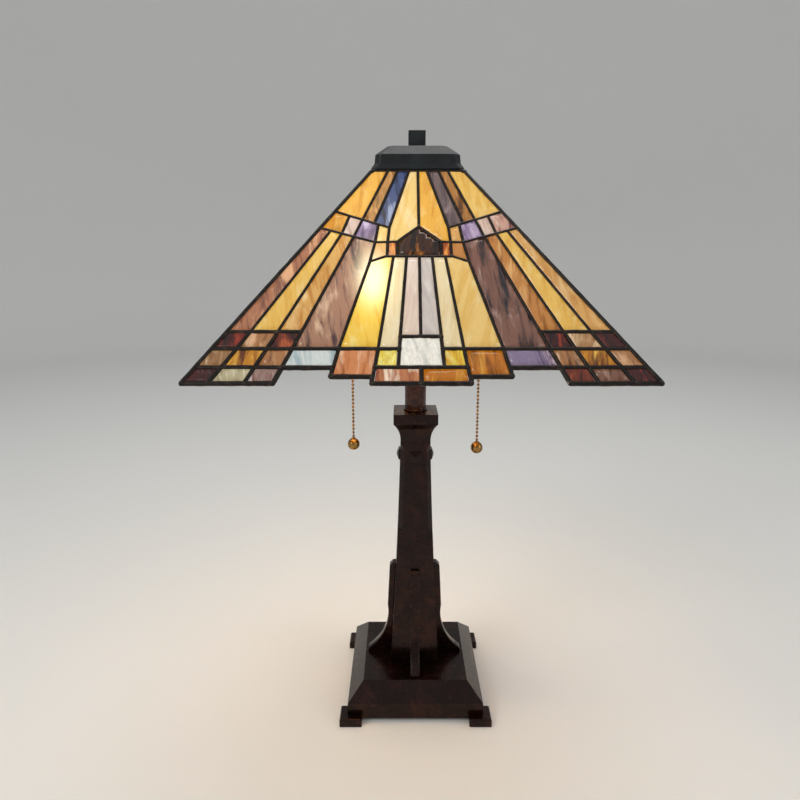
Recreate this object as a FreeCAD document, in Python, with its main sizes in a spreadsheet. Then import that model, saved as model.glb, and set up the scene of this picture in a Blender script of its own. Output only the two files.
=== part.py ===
# Stained glass table lamp: a parametric document. Millimetres, +Z up.
# The origin is the centre of the footprint, on the surface that the feet stand on.
# The front is -Y. Every driving dimension is a named cell of the sheet "Dimensions".
import FreeCAD, Part, Sketcher
import math
import os
import re

Vector = FreeCAD.Vector
UP = Vector(0, 0, 1)
SIDES = {"front": 0, "right": 90, "rear": 180, "left": 270}
CORNERS = {"front_right": 0, "rear_right": 90, "rear_left": 180, "front_left": 270}

DIMENSIONS = {
    # base
    "BaseHalf": 77.8, "BaseBottom": 4.5, "BaseBandTop": 23.5, "PlateauHalf": 60.4, "PlateauTop": 41.8,
    "BaseWall": 4.0, "PlateThickness": 1.5, "PlateGap": 0.2,
    "FootOuter": 87.0, "FootSide": 25.5, "FootHeight": 9.3, "FootBevel": 1.5,
    "ScrewPlace": 69.0, "ScrewRadius": 2.0, "ScrewHeadRadius": 3.8, "ScrewHeadHeight": 1.8,
    "ScrewBottom": 0.8, "ScrewTop": 18.0, "BossRadius": 6.0, "BossTop": 24.0, "ScrewClearance": 0.1,
    "BushingHeight": 14.0, "BushingBore": 3.5, "BushingNeck": 5.0, "BushingFlange": 7.0,
    "BushingFlangeDepth": 1.5, "BushingNutDepth": 2.5,
    # column
    "ShaftFoot": 28.9, "ShaftMiddle": 22.0, "ShaftMiddleLevel": 175.0, "ShaftTop": 17.2,
    "ShaftTopLevel": 317.0, "CoveMiddle": 19.6, "CoveMiddleLevel": 332.0, "CapitalHalf": 25.1,
    "CapitalBottom": 340.6, "CapitalTop": 352.0, "ChamferLeg": 5.0, "ChamferBottom": 204.0,
    "ChamferTop": 316.0, "ChamferRun": 9.0, "ColumnCavityLow": 23.0, "ColumnCavityHigh": 12.5,
    "ColumnCavityTop": 336.0,
    # buttress fins
    "FinThickness": 10.7, "FinInner": 14.0, "FinTop": 162.5, "FinShoulder": 30.3,
    "FinShoulderLevel": 158.5, "FinShoulderInner": 26.3, "FinWaist": 32.9, "FinWaistLevel": 106.0,
    "FinSweep": 37.6, "FinSweepLevel": 70.5, "FinToe": 57.2, "FinToeLevel": 46.0,
    "PegHalf": 6.3, "PegLevel": 300.0, "PegInner": 12.0, "PegCheek": 19.3, "PegTip": 21.5,
    "PegTipHalf": 1.6,
    # stem, pipe and cluster
    "TubeRadius": 12.2, "TubeBore": 10.8, "TubeTop": 392.0, "CollarBore": 12.25, "CollarRadius": 13.6,
    "CollarShoulder": 353.4, "CollarWaist": 12.8, "CollarWaistLevel": 355.0, "CollarTop": 357.0,
    "PipeRadius": 5.0, "PipeBore": 3.2, "PipeBottom": 1.2, "PipeTop": 400.0, "FitGap": 0.05,
    "WasherRadius": 13.0, "WasherBottom": 3.5, "NutBottom": 0.9, "NutRadius": 9.5,
    "HubRadius": 15.0, "HubTop": 412.0, "ArmRadius": 5.0, "ArmLevel": 400.0, "ArmInner": 13.0,
    "BendRadius": 8.0, "SocketPlace": 42.0, "ArmTop": 409.0,
    # sockets and bulbs, measured from the lamp's foot
    "SocketCapRadius": 17.4, "SocketBottom": 409.0, "SocketCapShoulder": 414.0, "SocketCapTop": 426.0,
    "SocketCapNeck": 8.0, "SocketCapBore": 16.5, "SocketCapFloor": 410.0, "WireBore": 3.2,
    "ShellRadius": 16.4, "ShellBore": 15.6, "ShellBottom": 424.4, "ShellTop": 461.0,
    "SwitchRadius": 14.6, "SwitchBottom": 413.2, "SwitchTop": 428.0,
    "ScrewShellRadius": 13.9, "ScrewShellBore": 13.4, "ScrewShellTop": 455.0,
    "BulbBaseRadius": 13.0, "BulbContact": 3.5, "BulbBottom": 428.5, "BulbBaseFoot": 431.5,
    "BulbNeckTop": 460.0, "BulbSwell": 23.0,
    "BulbSwellLevel": 480.0, "BulbRadius": 30.0, "BulbCentre": 503.0, "BulbBrow": 26.0,
    "BulbBrowLevel": 518.4, "BulbCrown": 15.0, "BulbCrownLevel": 529.4, "BulbTop": 533.0,
    # pull chains
    "ChainPlace": 72.0, "GuideRadius": 3.6, "GuideBore": 2.5, "GuideLevel": 420.0, "GuideBend": 6.0,
    "GuideMouth": 403.0, "MouthRadius": 4.6, "MouthHeight": 3.0,
    "BeadRadius": 1.6, "BeadPitch": 4.35, "BeadLink": 0.45, "ChainTop": 412.0, "PullGap": 0.4,
    "BallRadius": 7.1, "BallNeck": 1.6, "BallNeckRadius": 2.6,
    # shade and its top
    "ShadeHalf": 200.0, "ShadeBottom": 419.8, "ShadeTopHalf": 46.0, "ShadeTop": 608.3,
    "GlassThickness": 2.6, "SolderProud": 0.7, "SeamHalf": 1.45, "GridSeamHalf": 1.9,
    "BorderWidth": 3.9, "HipWidth": 2.6,
    "CapLip": 46.9, "CapBottom": 608.8, "CapLipTop": 610.3, "CapBandHalf": 43.5, "CapBandBottom": 615.3,
    "CapBandTopHalf": 42.7, "CapBandTop": 623.8, "CapRoofHalf": 30.5, "CapRoof": 634.0,
    "CapCorner": 5.5, "CapCavityHalf": 40.0, "CapCavityShoulder": 620.0,
    "CapCavityTopHalf": 28.0, "CapCavityTop": 630.0,
    "RiserRadius": 4.0, "RiserBottom": 404.0, "RiserTop": 648.0, "RiserGap": 0.4,
    "RestRadius": 15.0, "RestThickness": 2.0, "RestNutRadius": 7.5, "RestNutHeight": 4.0,
    "TurnGap": 0.2, "NeckHalf": 7.9, "NeckTop": 638.3, "FinialHalf": 8.95, "FinialTop": 652.7,
}

doc = FreeCAD.newDocument("TableLamp")
sheet = doc.addObject("Spreadsheet::Sheet", "Dimensions")
for row, (alias, number) in enumerate(DIMENSIONS.items(), start=1):
    sheet.set(f"A{row}", alias)
    sheet.set(f"B{row}", str(number))
    sheet.setAlias(f"B{row}", alias)
doc.recompute()

nodes = {}


def size(word):
    """A number from the sheet; a leading minus turns its sign, and a plain number passes through."""
    if isinstance(word, (int, float)):
        return float(word)
    if word.startswith("-"):
        return -size(word[1:])
    return float(getattr(sheet, word))


def formula(words):
    """The same words as an expression that reads the sheet."""
    return re.sub(r"\b([A-Z]\w+)\b", r"Dimensions.\1", str(words))


def bind(thing, settings):
    for name, words in settings.items():
        thing.setExpression(name, formula(words))
    return thing


def part(name, kind, at=(0, 0, 0), **settings):
    """A Part primitive whose sizes and place follow the sheet."""
    thing = doc.addObject(f"Part::{kind}", name)
    for axis, words in zip("xyz", at):
        settings[f"Placement.Base.{axis}"] = words
    return bind(thing, settings)


def box(name, length, width, height, at):
    return part(name, "Box", at, Length=length, Width=width, Height=height)


def rod(name, radius, low, high, x=0, y=0):
    return part(name, "Cylinder", (x, y, low), Radius=radius, Height=f"{high} - ({low})")


def frustum(name, half_low, half_high, low, high):
    """A square frustum about the Z axis."""
    thing = doc.addObject("Part::Wedge", name)
    bind(thing, {
        "Xmin": f"-({half_low})", "Zmin": f"-({half_low})", "Xmax": half_low, "Zmax": half_low,
        "X2min": f"-({half_high})", "Z2min": f"-({half_high})", "X2max": half_high, "Z2max": half_high,
        "Ymin": 0, "Ymax": f"{high} - ({low})", "Placement.Base.z": low,
    })
    turn_in_place(thing, Vector(1, 0, 0), 90)
    return thing


def turn_in_place(thing, axis, angle):
    """Turns a primitive about its own origin; its base point stays bound to the sheet."""
    thing.Placement.Rotation = FreeCAD.Rotation(axis, angle)


def cut(name, base, *tools):
    """The base without the tools."""
    tool = tools[0] if len(tools) == 1 else fuse(f"{name}_tools", *tools)
    thing = doc.addObject("Part::Cut", name)
    thing.Base = base
    thing.Tool = tool
    return thing


def fuse(name, *pieces):
    thing = doc.addObject("Part::MultiFuse", name)
    thing.Shapes = list(pieces)
    return thing


def common(name, *pieces):
    thing = doc.addObject("Part::MultiCommon", name)
    thing.Shapes = list(pieces)
    return thing


def tube(name, radius, bore, low, high, x=0):
    return cut(name, rod(f"{name}_wall", radius, low, high, x),
               rod(f"{name}_bore", bore, f"{low} - 1", f"{high} + 1", x))


def shaped(name, shape):
    """A piece whose shape neither a feature nor a primitive fits."""
    thing = doc.addObject("Part::Feature", name)
    thing.Shape = shape
    return thing


def node(label, thing, turn=0, move=(0, 0, 0)):
    """Names a finished sub-part, and places it: a turn about Z after a move."""
    thing.Label = label
    if turn or any(move):
        rotation = FreeCAD.Rotation(UP, turn)
        thing.Placement = FreeCAD.Placement(rotation.multVec(Vector(*move)), rotation)
    nodes[label] = thing
    return thing


def origin_plane(body, role):
    return next(plane for plane in body.Origin.OriginFeatures if plane.Role == role)


def profile(body, name, role, corners):
    """A closed sketch through the corners, each bound to the sheet.
    A corner is (across, up); one marked "via" is the middle of an arc between its neighbours."""
    sketch = body.newObject("Sketcher::SketchObject", name)
    sketch.AttachmentSupport = (origin_plane(body, role), [""])
    sketch.MapMode = "FlatFace"
    ends = [corner for corner in corners if len(corner) == 2]
    spans = []
    for place, corner in enumerate(corners):
        if len(corner) == 3:
            continue
        after = corners[(place + 1) % len(corners)]
        via = after if len(after) == 3 else None
        spans.append((corner, via, ends[(ends.index(corner) + 1) % len(ends)]))
    points = [[Vector(size(c[0]), size(c[1]), 0) if c else None for c in span] for span in spans]
    for start, via, end in points:
        edge = Part.Arc(start, via, end) if via else Part.LineSegment(start, end)
        sketch.addGeometry(edge, False)
    for edge, (start, via, end) in enumerate(spans):
        first, last = edge_ends(sketch, edge, points[edge][0])
        following = (edge + 1) % len(spans)
        next_first, _ = edge_ends(sketch, following, points[following][0])
        add_constraint(sketch, "Coincident", edge, last, following, next_first)
        pin_point(sketch, edge, first, start)
        if via:
            middle = sketch.addGeometry(Part.Point(points[edge][1]), True)
            pin_point(sketch, middle, 1, via)
            add_constraint(sketch, "PointOnObject", middle, 1, edge)
    return sketch


def edge_ends(sketch, edge, start):
    """Which end of an edge is its start: an arc is stored anticlockwise."""
    at_start = sketch.getPoint(edge, 1).distanceToPoint(start) < 1e-6
    return (1, 2) if at_start else (2, 1)


def add_constraint(sketch, *values):
    return sketch.addConstraint(Sketcher.Constraint(*values))


def pin_point(sketch, geometry, point, corner):
    for direction, word in zip(("DistanceX", "DistanceY"), corner):
        index = add_constraint(sketch, direction, -1, 1, geometry, point, size(word))
        if isinstance(word, str):
            sketch.setExpression(f"Constraints[{index}]", formula(word))


def padded(name, role, corners, length):
    """A body padded both ways from an origin plane."""
    body = doc.addObject("PartDesign::Body", name)
    sketch = profile(body, f"{name}_profile", role, corners)
    pad = body.newObject("PartDesign::Pad", f"{name}_pad")
    pad.Profile = sketch
    pad.SideType = "Symmetric"
    bind(pad, {"Length": length})
    return body


def turned(name, corners):
    """A body revolved about Z from a half section in the XZ plane."""
    body = doc.addObject("PartDesign::Body", name)
    sketch = profile(body, f"{name}_section", "XZ_Plane", corners)
    spin = body.newObject("PartDesign::Revolution", f"{name}_spin")
    spin.Profile = sketch
    spin.ReferenceAxis = (sketch, ["V_Axis"])
    spin.Angle = 360
    return body


def build_base():
    form = fuse("base_form",
                frustum("base_band", "BaseHalf", "BaseHalf", "BaseBottom", "BaseBandTop"),
                frustum("base_hip", "BaseHalf", "PlateauHalf", "BaseBandTop", "PlateauTop"))
    inner = "(BaseHalf - BaseWall)"
    hollow = fuse("base_hollow",
                  frustum("base_hollow_band", inner, inner, "BaseBottom - 1", "BaseBandTop - 2"),
                  frustum("base_hollow_hip", inner, "(PlateauHalf - BaseWall)", "BaseBandTop - 2",
                          "PlateauTop - BaseWall"))
    shell = cut("base_shell", form, hollow)
    bosses = [rod(f"boss_{corner}", "BossRadius", "BaseBottom + PlateThickness", "BossTop",
                  x, y) for corner, (x, y) in corner_places().items()]
    bored = [rod(f"boss_hole_{corner}", "ScrewRadius + ScrewClearance", "BaseBottom", "ScrewTop + 1",
                 x, y) for corner, (x, y) in corner_places().items()]
    body = fuse("base_with_bosses", shell, common("bosses", fuse("boss_rods", *bosses), form))
    centre = rod("base_centre_hole", "PipeRadius + 0.3", "PlateauTop - 6", "PlateauTop + 1")
    entry = part("base_entry_hole", "Cylinder", (0, "BaseHalf + 1", "BushingHeight"),
                 Radius="BushingNeck + FitGap", Height="BaseWall + 2")
    turn_in_place(entry, Vector(1, 0, 0), 90)
    node("base_casting", cut("base_drilled", body, centre, entry, *bored))

    plate = box("plate_blank", f"2 * ({inner} - PlateGap)", f"2 * ({inner} - PlateGap)", "PlateThickness",
                (f"-({inner} - PlateGap)", f"-({inner} - PlateGap)", "BaseBottom"))
    holes = [rod(f"plate_hole_{corner}", "ScrewRadius + ScrewClearance", 0, 10, x, y)
             for corner, (x, y) in corner_places().items()]
    node("base_cover_plate", cut("plate", plate, rod("plate_centre", "PipeRadius + FitGap", 0, 10), *holes))


def corner_places():
    return {corner: (f"{x}ScrewPlace", f"{y}ScrewPlace")
            for corner, (x, y) in {"front_right": ("", "-"), "rear_right": ("", ""),
                                   "rear_left": ("-", ""), "front_left": ("-", "-")}.items()}


def build_foot(corner, turn):
    """One foot pad, made at the front right corner, with a notch for the corner of the base."""
    inner = "(FootOuter - FootSide)"
    low = box(f"foot_{corner}_pad", "FootSide", "FootSide", "FootHeight - FootBevel",
              (inner, "-FootOuter", 0))
    top = doc.addObject("Part::Wedge", f"foot_{corner}_top")
    bind(top, {"Xmin": 0, "Zmin": 0, "Xmax": "FootSide", "Zmax": "FootSide", "Ymin": 0,
               "Ymax": "FootBevel", "X2min": "FootBevel", "Z2min": "FootBevel",
               "X2max": "FootSide - FootBevel", "Z2max": "FootSide - FootBevel",
               "Placement.Base.x": inner, "Placement.Base.y": f"-{inner}",
               "Placement.Base.z": "FootHeight - FootBevel"})
    turn_in_place(top, Vector(1, 0, 0), 90)
    notch = box(f"foot_{corner}_notch", "BaseHalf", "BaseHalf", 20, (0, "-BaseHalf", "BaseBottom"))
    shank = rod(f"foot_{corner}_hole", "ScrewRadius + ScrewClearance", -1, 10, "ScrewPlace", "-ScrewPlace")
    sink = rod(f"foot_{corner}_sink", "ScrewHeadRadius + ScrewClearance", -1,
               "ScrewBottom + ScrewHeadHeight", "ScrewPlace", "-ScrewPlace")
    pad = fuse(f"foot_{corner}_blank", low, top)
    node(f"foot_{corner}", cut(f"foot_{corner}_cut", pad, notch, shank, sink), turn)


def build_base_hardware():
    screws = []
    for corner, (x, y) in corner_places().items():
        screws.append(rod(f"screw_head_{corner}", "ScrewHeadRadius", "ScrewBottom",
                          "ScrewBottom + ScrewHeadHeight", x, y))
        screws.append(rod(f"screw_shank_{corner}", "ScrewRadius", "ScrewBottom + ScrewHeadHeight",
                          "ScrewTop", x, y))
    node("foot_screws", fuse("screws", *screws))

    spans = (("flange", "BushingFlange", "BaseHalf", "BushingFlangeDepth"),
             ("neck", "BushingNeck", "BaseHalf - BaseWall", "BaseWall"),
             ("nut", "BushingFlange", "BaseHalf - BaseWall - BushingNutDepth", "BushingNutDepth"))
    rings = []
    for name, radius, start, depth in spans:
        ring = part(f"bushing_{name}", "Cylinder", (0, start, "BushingHeight"), Radius=radius, Height=depth)
        turn_in_place(ring, Vector(1, 0, 0), -90)
        rings.append(ring)
    bore = part("bushing_bore", "Cylinder", (0, "BaseHalf - 20", "BushingHeight"),
                Radius="BushingBore", Height=40)
    turn_in_place(bore, Vector(1, 0, 0), -90)
    node("cord_bushing", cut("bushing", fuse("bushing_rings", *rings), bore))

    node("pipe_washer", tube("washer", "WasherRadius", "PipeRadius + FitGap", "WasherBottom", "BaseBottom"))
    blank = part("nut_blank", "Prism", (0, 0, "NutBottom"), Circumradius="NutRadius",
                 Height="WasherBottom - NutBottom")
    blank.Polygon = 6
    node("pipe_nut", cut("nut", blank, rod("nut_bore", "PipeRadius + FitGap", 0, 10)))


def column_profile():
    """The column's silhouette: the same seen from the front and from the side."""
    right = [("ShaftFoot", "PlateauTop"), ("ShaftMiddle", "ShaftMiddleLevel", "via"),
             ("ShaftTop", "ShaftTopLevel"), ("CoveMiddle", "CoveMiddleLevel", "via"),
             ("CapitalHalf", "CapitalBottom"), ("CapitalHalf", "CapitalTop")]
    left = [(f"-{corner[0]}", *corner[1:]) for corner in reversed(right)]
    return right + left


def column_half(level):
    """Half the column's width at a level, on the arc through the shaft's three stated widths."""
    stations = (("ShaftFoot", "PlateauTop"), ("ShaftMiddle", "ShaftMiddleLevel"),
                ("ShaftTop", "ShaftTopLevel"))
    circle = Part.Arc(*(Vector(size(width), 0, size(height)) for width, height in stations)).toShape().Curve
    across_to_arc = math.sqrt(circle.Radius ** 2 - (level - circle.Center.z) ** 2)
    return circle.Center.x - across_to_arc


def chamfer_tool():
    """The four stopped chamfers: each a loft that swells from nothing to the full leg and back."""
    run = size("ChamferRun")
    low = size("ChamferBottom")
    high = size("ChamferTop")
    full = size("ChamferLeg")
    stations = ((low, 0.1), (low + run / 2, 0.7 * full), (low + run, full),
                (high - run, full), (high - run / 2, 0.7 * full), (high, 0.1))
    wires = []
    for level, leg in stations:
        half = column_half(level)
        beyond = half + 2
        corners = [(beyond, beyond), (half - leg - 2, beyond), (beyond, half - leg - 2)]
        wires.append(Part.makePolygon([Vector(x, y, level) for x, y in corners + corners[:1]]))
    one = Part.makeLoft(wires, True, True)
    tools = []
    for turn in SIDES.values():
        copy = one.copy()
        copy.rotate(Vector(0, 0, 0), UP, turn)
        tools.append(copy)
    return Part.makeCompound(tools)


def build_column():
    """Returns the plain form, which the fins and pegs are cut to."""
    width = "4 * ShaftFoot"
    form = common("column_form", padded("column_front_view", "XZ_Plane", column_profile(), width),
                  padded("column_side_view", "YZ_Plane", column_profile(), width))
    cavity = frustum("column_cavity", "ColumnCavityLow", "ColumnCavityHigh", "PlateauTop - 1",
                     "ColumnCavityTop")
    hole = rod("column_pipe_hole", "PipeRadius + 0.3", "ColumnCavityTop - 1", "CapitalTop + 1")
    chamfers = shaped("column_chamfers", chamfer_tool())
    node("column", cut("column_cut", form, cavity, hole, chamfers))
    return form


def build_fin(side, turn, column_form):
    outline = [("FinInner", "PlateauTop"), ("FinToe", "PlateauTop"), ("FinToe", "FinToeLevel"),
               ("FinSweep", "FinSweepLevel", "via"), ("FinWaist", "FinWaistLevel"),
               ("FinShoulder", "FinShoulderLevel"), ("FinShoulderInner", "FinTop"),
               ("FinInner", "FinTop")]
    blank = padded(f"fin_{side}", "XZ_Plane", outline, "FinThickness")
    node(f"buttress_{side}", cut(f"fin_{side}_cut", blank, column_form), turn - 90)


def build_pegs(column_form):
    pegs = []
    for side, turn in SIDES.items():
        cheek = part(f"peg_{side}_cheek", "Box", ("-PegHalf", "-PegCheek", "PegLevel - PegHalf"),
                     Length="2 * PegHalf", Width="PegCheek - PegInner", Height="2 * PegHalf")
        head = doc.addObject("Part::Wedge", f"peg_{side}_head")
        bind(head, {"Xmin": "-PegHalf", "Zmin": "-PegHalf", "Xmax": "PegHalf", "Zmax": "PegHalf",
                    "X2min": "-PegTipHalf", "Z2min": "-PegTipHalf", "X2max": "PegTipHalf",
                    "Z2max": "PegTipHalf", "Ymin": 0, "Ymax": "PegTip - PegCheek",
                    "Placement.Base.y": "-PegCheek", "Placement.Base.z": "PegLevel"})
        turn_in_place(head, UP, 180)
        peg = fuse(f"peg_{side}", cheek, head)
        peg.Placement = FreeCAD.Placement(Vector(0, 0, 0), FreeCAD.Rotation(UP, turn))
        pegs.append(peg)
    node("column_pegs", cut("pegs", fuse("peg_set", *pegs), column_form))


def build_stem():
    node("stem_tube", tube("stem", "TubeRadius", "TubeBore", "CapitalTop", "TubeTop"))
    node("stem_collar", turned("collar", [
        ("CollarBore", "CapitalTop"), ("CollarRadius", "CapitalTop"), ("CollarRadius", "CollarShoulder"),
        ("CollarWaist", "CollarWaistLevel", "via"), ("CollarBore", "CollarTop")]))
    node("lamp_pipe", tube("pipe", "PipeRadius", "PipeBore", "PipeBottom", "PipeTop"))
    hub = rod("hub", "HubRadius", "TubeTop", "HubTop")
    node("cluster_body", cut("hub_cut", hub,
                             rod("hub_pipe_bore", "PipeRadius + FitGap", "TubeTop - 1", "PipeTop"),
                             rod("hub_riser_bore", "RiserRadius + FitGap", "RiserBottom", "HubTop + 1"),
                             arm_bore("right", 1), arm_bore("left", -1)))
    node("riser_rod", rod("riser", "RiserRadius", "RiserBottom", "RiserTop"))


def arm_bore(side, way):
    """The socket in the cluster body that an arm screws into."""
    bore = part(f"arm_bore_{side}", "Cylinder", (f"{way} * ArmInner", 0, "ArmLevel"),
                Radius="ArmRadius + FitGap", Height=10)
    turn_in_place(bore, Vector(0, 1, 0), 90 * way)
    return bore


def elbow(name, radius, start, level, bend, end, place, way, rise):
    """A rod along X from start, bent through a right angle at place, then up (rise 1) or down (rise -1)."""
    reach = part(f"{name}_reach", "Cylinder", (f"{way} * ({start})", 0, level),
                 Radius=radius, Height=f"{place} - {bend} - ({start})")
    turn_in_place(reach, Vector(0, 1, 0), 90 * way)
    corner = part(f"{name}_corner", "Torus", (f"{way} * ({place} - {bend})", 0, f"{level} + {rise} * {bend}"),
                  Radius1=bend, Radius2=radius, Angle3=90)
    corner.Placement.Rotation = FreeCAD.Rotation(
        Vector(0, 0, -rise), Vector(way, 0, 0), Vector(0, -rise * way, 0), "XYZ")
    drop = part(f"{name}_leg", "Cylinder", (f"{way} * {place}", 0, f"{level} + {rise} * {bend}"),
                Radius=radius, Height=f"{rise} * ({end} - {level}) - {bend}")
    if rise < 0:
        turn_in_place(drop, Vector(1, 0, 0), 180)
    return fuse(name, reach, corner, drop)


def build_socket(side, way):
    """One arm with its socket and bulb, on the right (way 1) or on the left (way -1)."""
    route = ("ArmLevel", "BendRadius", "ArmTop", "SocketPlace", way, 1)
    node(f"socket_arm_{side}", cut(f"arm_{side}", elbow(f"arm_{side}_solid", "ArmRadius", "ArmInner", *route),
                                   elbow(f"arm_{side}_bore", "WireBore", "ArmInner", *route)))

    place = f"{way} * SocketPlace"
    shift = (way * size("SocketPlace"), 0, 0)
    cup = turned(f"cup_{side}", [
        ("WireBore", "SocketBottom"), ("SocketCapNeck", "SocketBottom"),
        ("SocketCapRadius", "SocketCapShoulder"), ("SocketCapRadius", "SocketCapTop"),
        ("SocketCapBore", "SocketCapTop"), ("SocketCapBore", "SocketCapShoulder"),
        ("SocketCapNeck", "SocketCapFloor"), ("WireBore", "SocketCapFloor")])
    cup.Placement.Base = Vector(*shift)
    entry = part(f"guide_entry_{side}", "Cylinder", (place, 0, "GuideLevel"),
                 Radius="GuideRadius + FitGap", Height="SocketCapRadius + 1")
    turn_in_place(entry, Vector(0, 1, 0), 90 * way)
    node(f"socket_cap_{side}", cut(f"cap_{side}", cup, entry))

    node(f"socket_shell_{side}", turned(f"shell_{side}", [
        ("ShellBore", "ShellBottom"), ("ShellRadius", "ShellBottom"), ("ShellRadius", "ShellTop"),
        ("ShellBore", "ShellTop")]), move=shift)
    node(f"switch_block_{side}", rod(f"block_{side}", "SwitchRadius", "SwitchBottom", "SwitchTop", place))
    node(f"screw_shell_{side}", turned(f"thread_{side}", [
        ("ScrewShellBore", "SwitchTop"), ("ScrewShellRadius", "SwitchTop"),
        ("ScrewShellRadius", "ScrewShellTop"), ("ScrewShellBore", "ScrewShellTop")]), move=shift)
    node(f"bulb_{side}", turned(f"lamp_{side}", [
        (0, "BulbBottom"), ("BulbContact", "BulbBottom"), ("BulbBaseRadius", "BulbBaseFoot"),
        ("BulbBaseRadius", "BulbNeckTop"), ("BulbSwell", "BulbSwellLevel", "via"),
        ("BulbRadius", "BulbCentre"), ("BulbBrow", "BulbBrowLevel", "via"),
        ("BulbCrown", "BulbCrownLevel"), (0, "BulbTop")]), move=shift)


def beads(name, top, count, reach, place):
    """A run of bead chain: the beads, and the wire that joins them, from the reach above to that below."""
    above, below = reach
    balls = [part(f"{name}_bead_{place_in_run}", "Sphere", (place, 0, f"{top} - {place_in_run} * BeadPitch"),
                  Radius="BeadRadius") for place_in_run in range(count)]
    return fuse(name, rod(f"{name}_wire", "BeadLink", below, above, place), *balls)


def build_pull(side, way, hanging):
    """One pull: its guide, two beads inside the guide, the hanging beads and the ball."""
    route = ("GuideLevel", "GuideBend", "GuideMouth", "ChainPlace", way, -1)
    start = "SocketPlace + SwitchRadius + 0.3"
    place = f"{way} * ChainPlace"
    lip = part(f"mouth_{side}", "Cone", (place, 0, "GuideMouth"), Radius1="MouthRadius",
               Radius2="GuideRadius", Height="MouthHeight")
    node(f"chain_guide_{side}", cut(f"guide_{side}",
                                    fuse(f"guide_{side}_solid", lip,
                                         elbow(f"guide_{side}_tube", "GuideRadius", start, *route)),
                                    elbow(f"guide_{side}_bore", "GuideBore", start, *route)))

    split = "(ChainTop - 1.5 * BeadPitch)"
    node(f"chain_top_{side}", beads(f"top_{side}", "ChainTop", 2, ("ChainTop", f"{split} + PullGap"), place))
    last = f"(ChainTop - {hanging + 1} * BeadPitch)"
    node(f"chain_drop_{side}", beads(f"drop_{side}", "(ChainTop - 2 * BeadPitch)", hanging,
                                     (f"{split} - PullGap", f"{last} - BeadRadius - BallNeck - 1"), place))
    centre = f"{last} - BeadRadius - BallNeck - BallRadius + 0.6"
    ball = part(f"ball_{side}_sphere", "Sphere", (place, 0, centre), Radius="BallRadius")
    neck = part(f"ball_{side}_neck", "Cone", (place, 0, f"{last} - BeadRadius - BallNeck - 0.4"),
                Radius1="BallNeckRadius", Radius2="BeadRadius", Height="BallNeck")
    bore = rod(f"ball_{side}_bore", "BeadLink + 0.02", f"{last} - BeadRadius - BallNeck - 1.02", last, place)
    node(f"chain_ball_{side}", cut(f"ball_{side}", fuse(f"ball_{side}_solid", ball, neck), bore))


# The shade. A panel's design is drawn on its outer face: u across from the centre line, and v up the slope.
# The right half is given, and the left half is its mirror image.
FOOT, SHELF, NOTCH, SILL, LEDGE, RAIL, LINTEL = 0, 6.4, 15, 17, 35, 52, 134
STRAIGHT_TURN = 0.06

def slope():
    """The unit step up a front panel's slope, and its outward normal."""
    step = Vector(0, size("ShadeHalf") - size("ShadeTopHalf"), size("ShadeTop") - size("ShadeBottom"))
    step.normalize()
    return step, Vector(0, -step.z, step.y)


def slope_length():
    return math.hypot(size("ShadeHalf") - size("ShadeTopHalf"), size("ShadeTop") - size("ShadeBottom"))


def hip(level):
    """The panel's half width at a level v."""
    return size("ShadeHalf") - level * (size("ShadeHalf") - size("ShadeTopHalf")) / slope_length()


def seam(*joints):
    """A seam through (u, v) joints, as a function from v to the point on it at that v."""
    def at(level):
        for (u1, v1), (u2, v2) in zip(joints, joints[1:]):
            if min(v1, v2) - 1e-9 <= level <= max(v1, v2) + 1e-9:
                return (u1 + (u2 - u1) * (level - v1) / (v2 - v1), level)
        raise ValueError(level)
    return at


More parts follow.
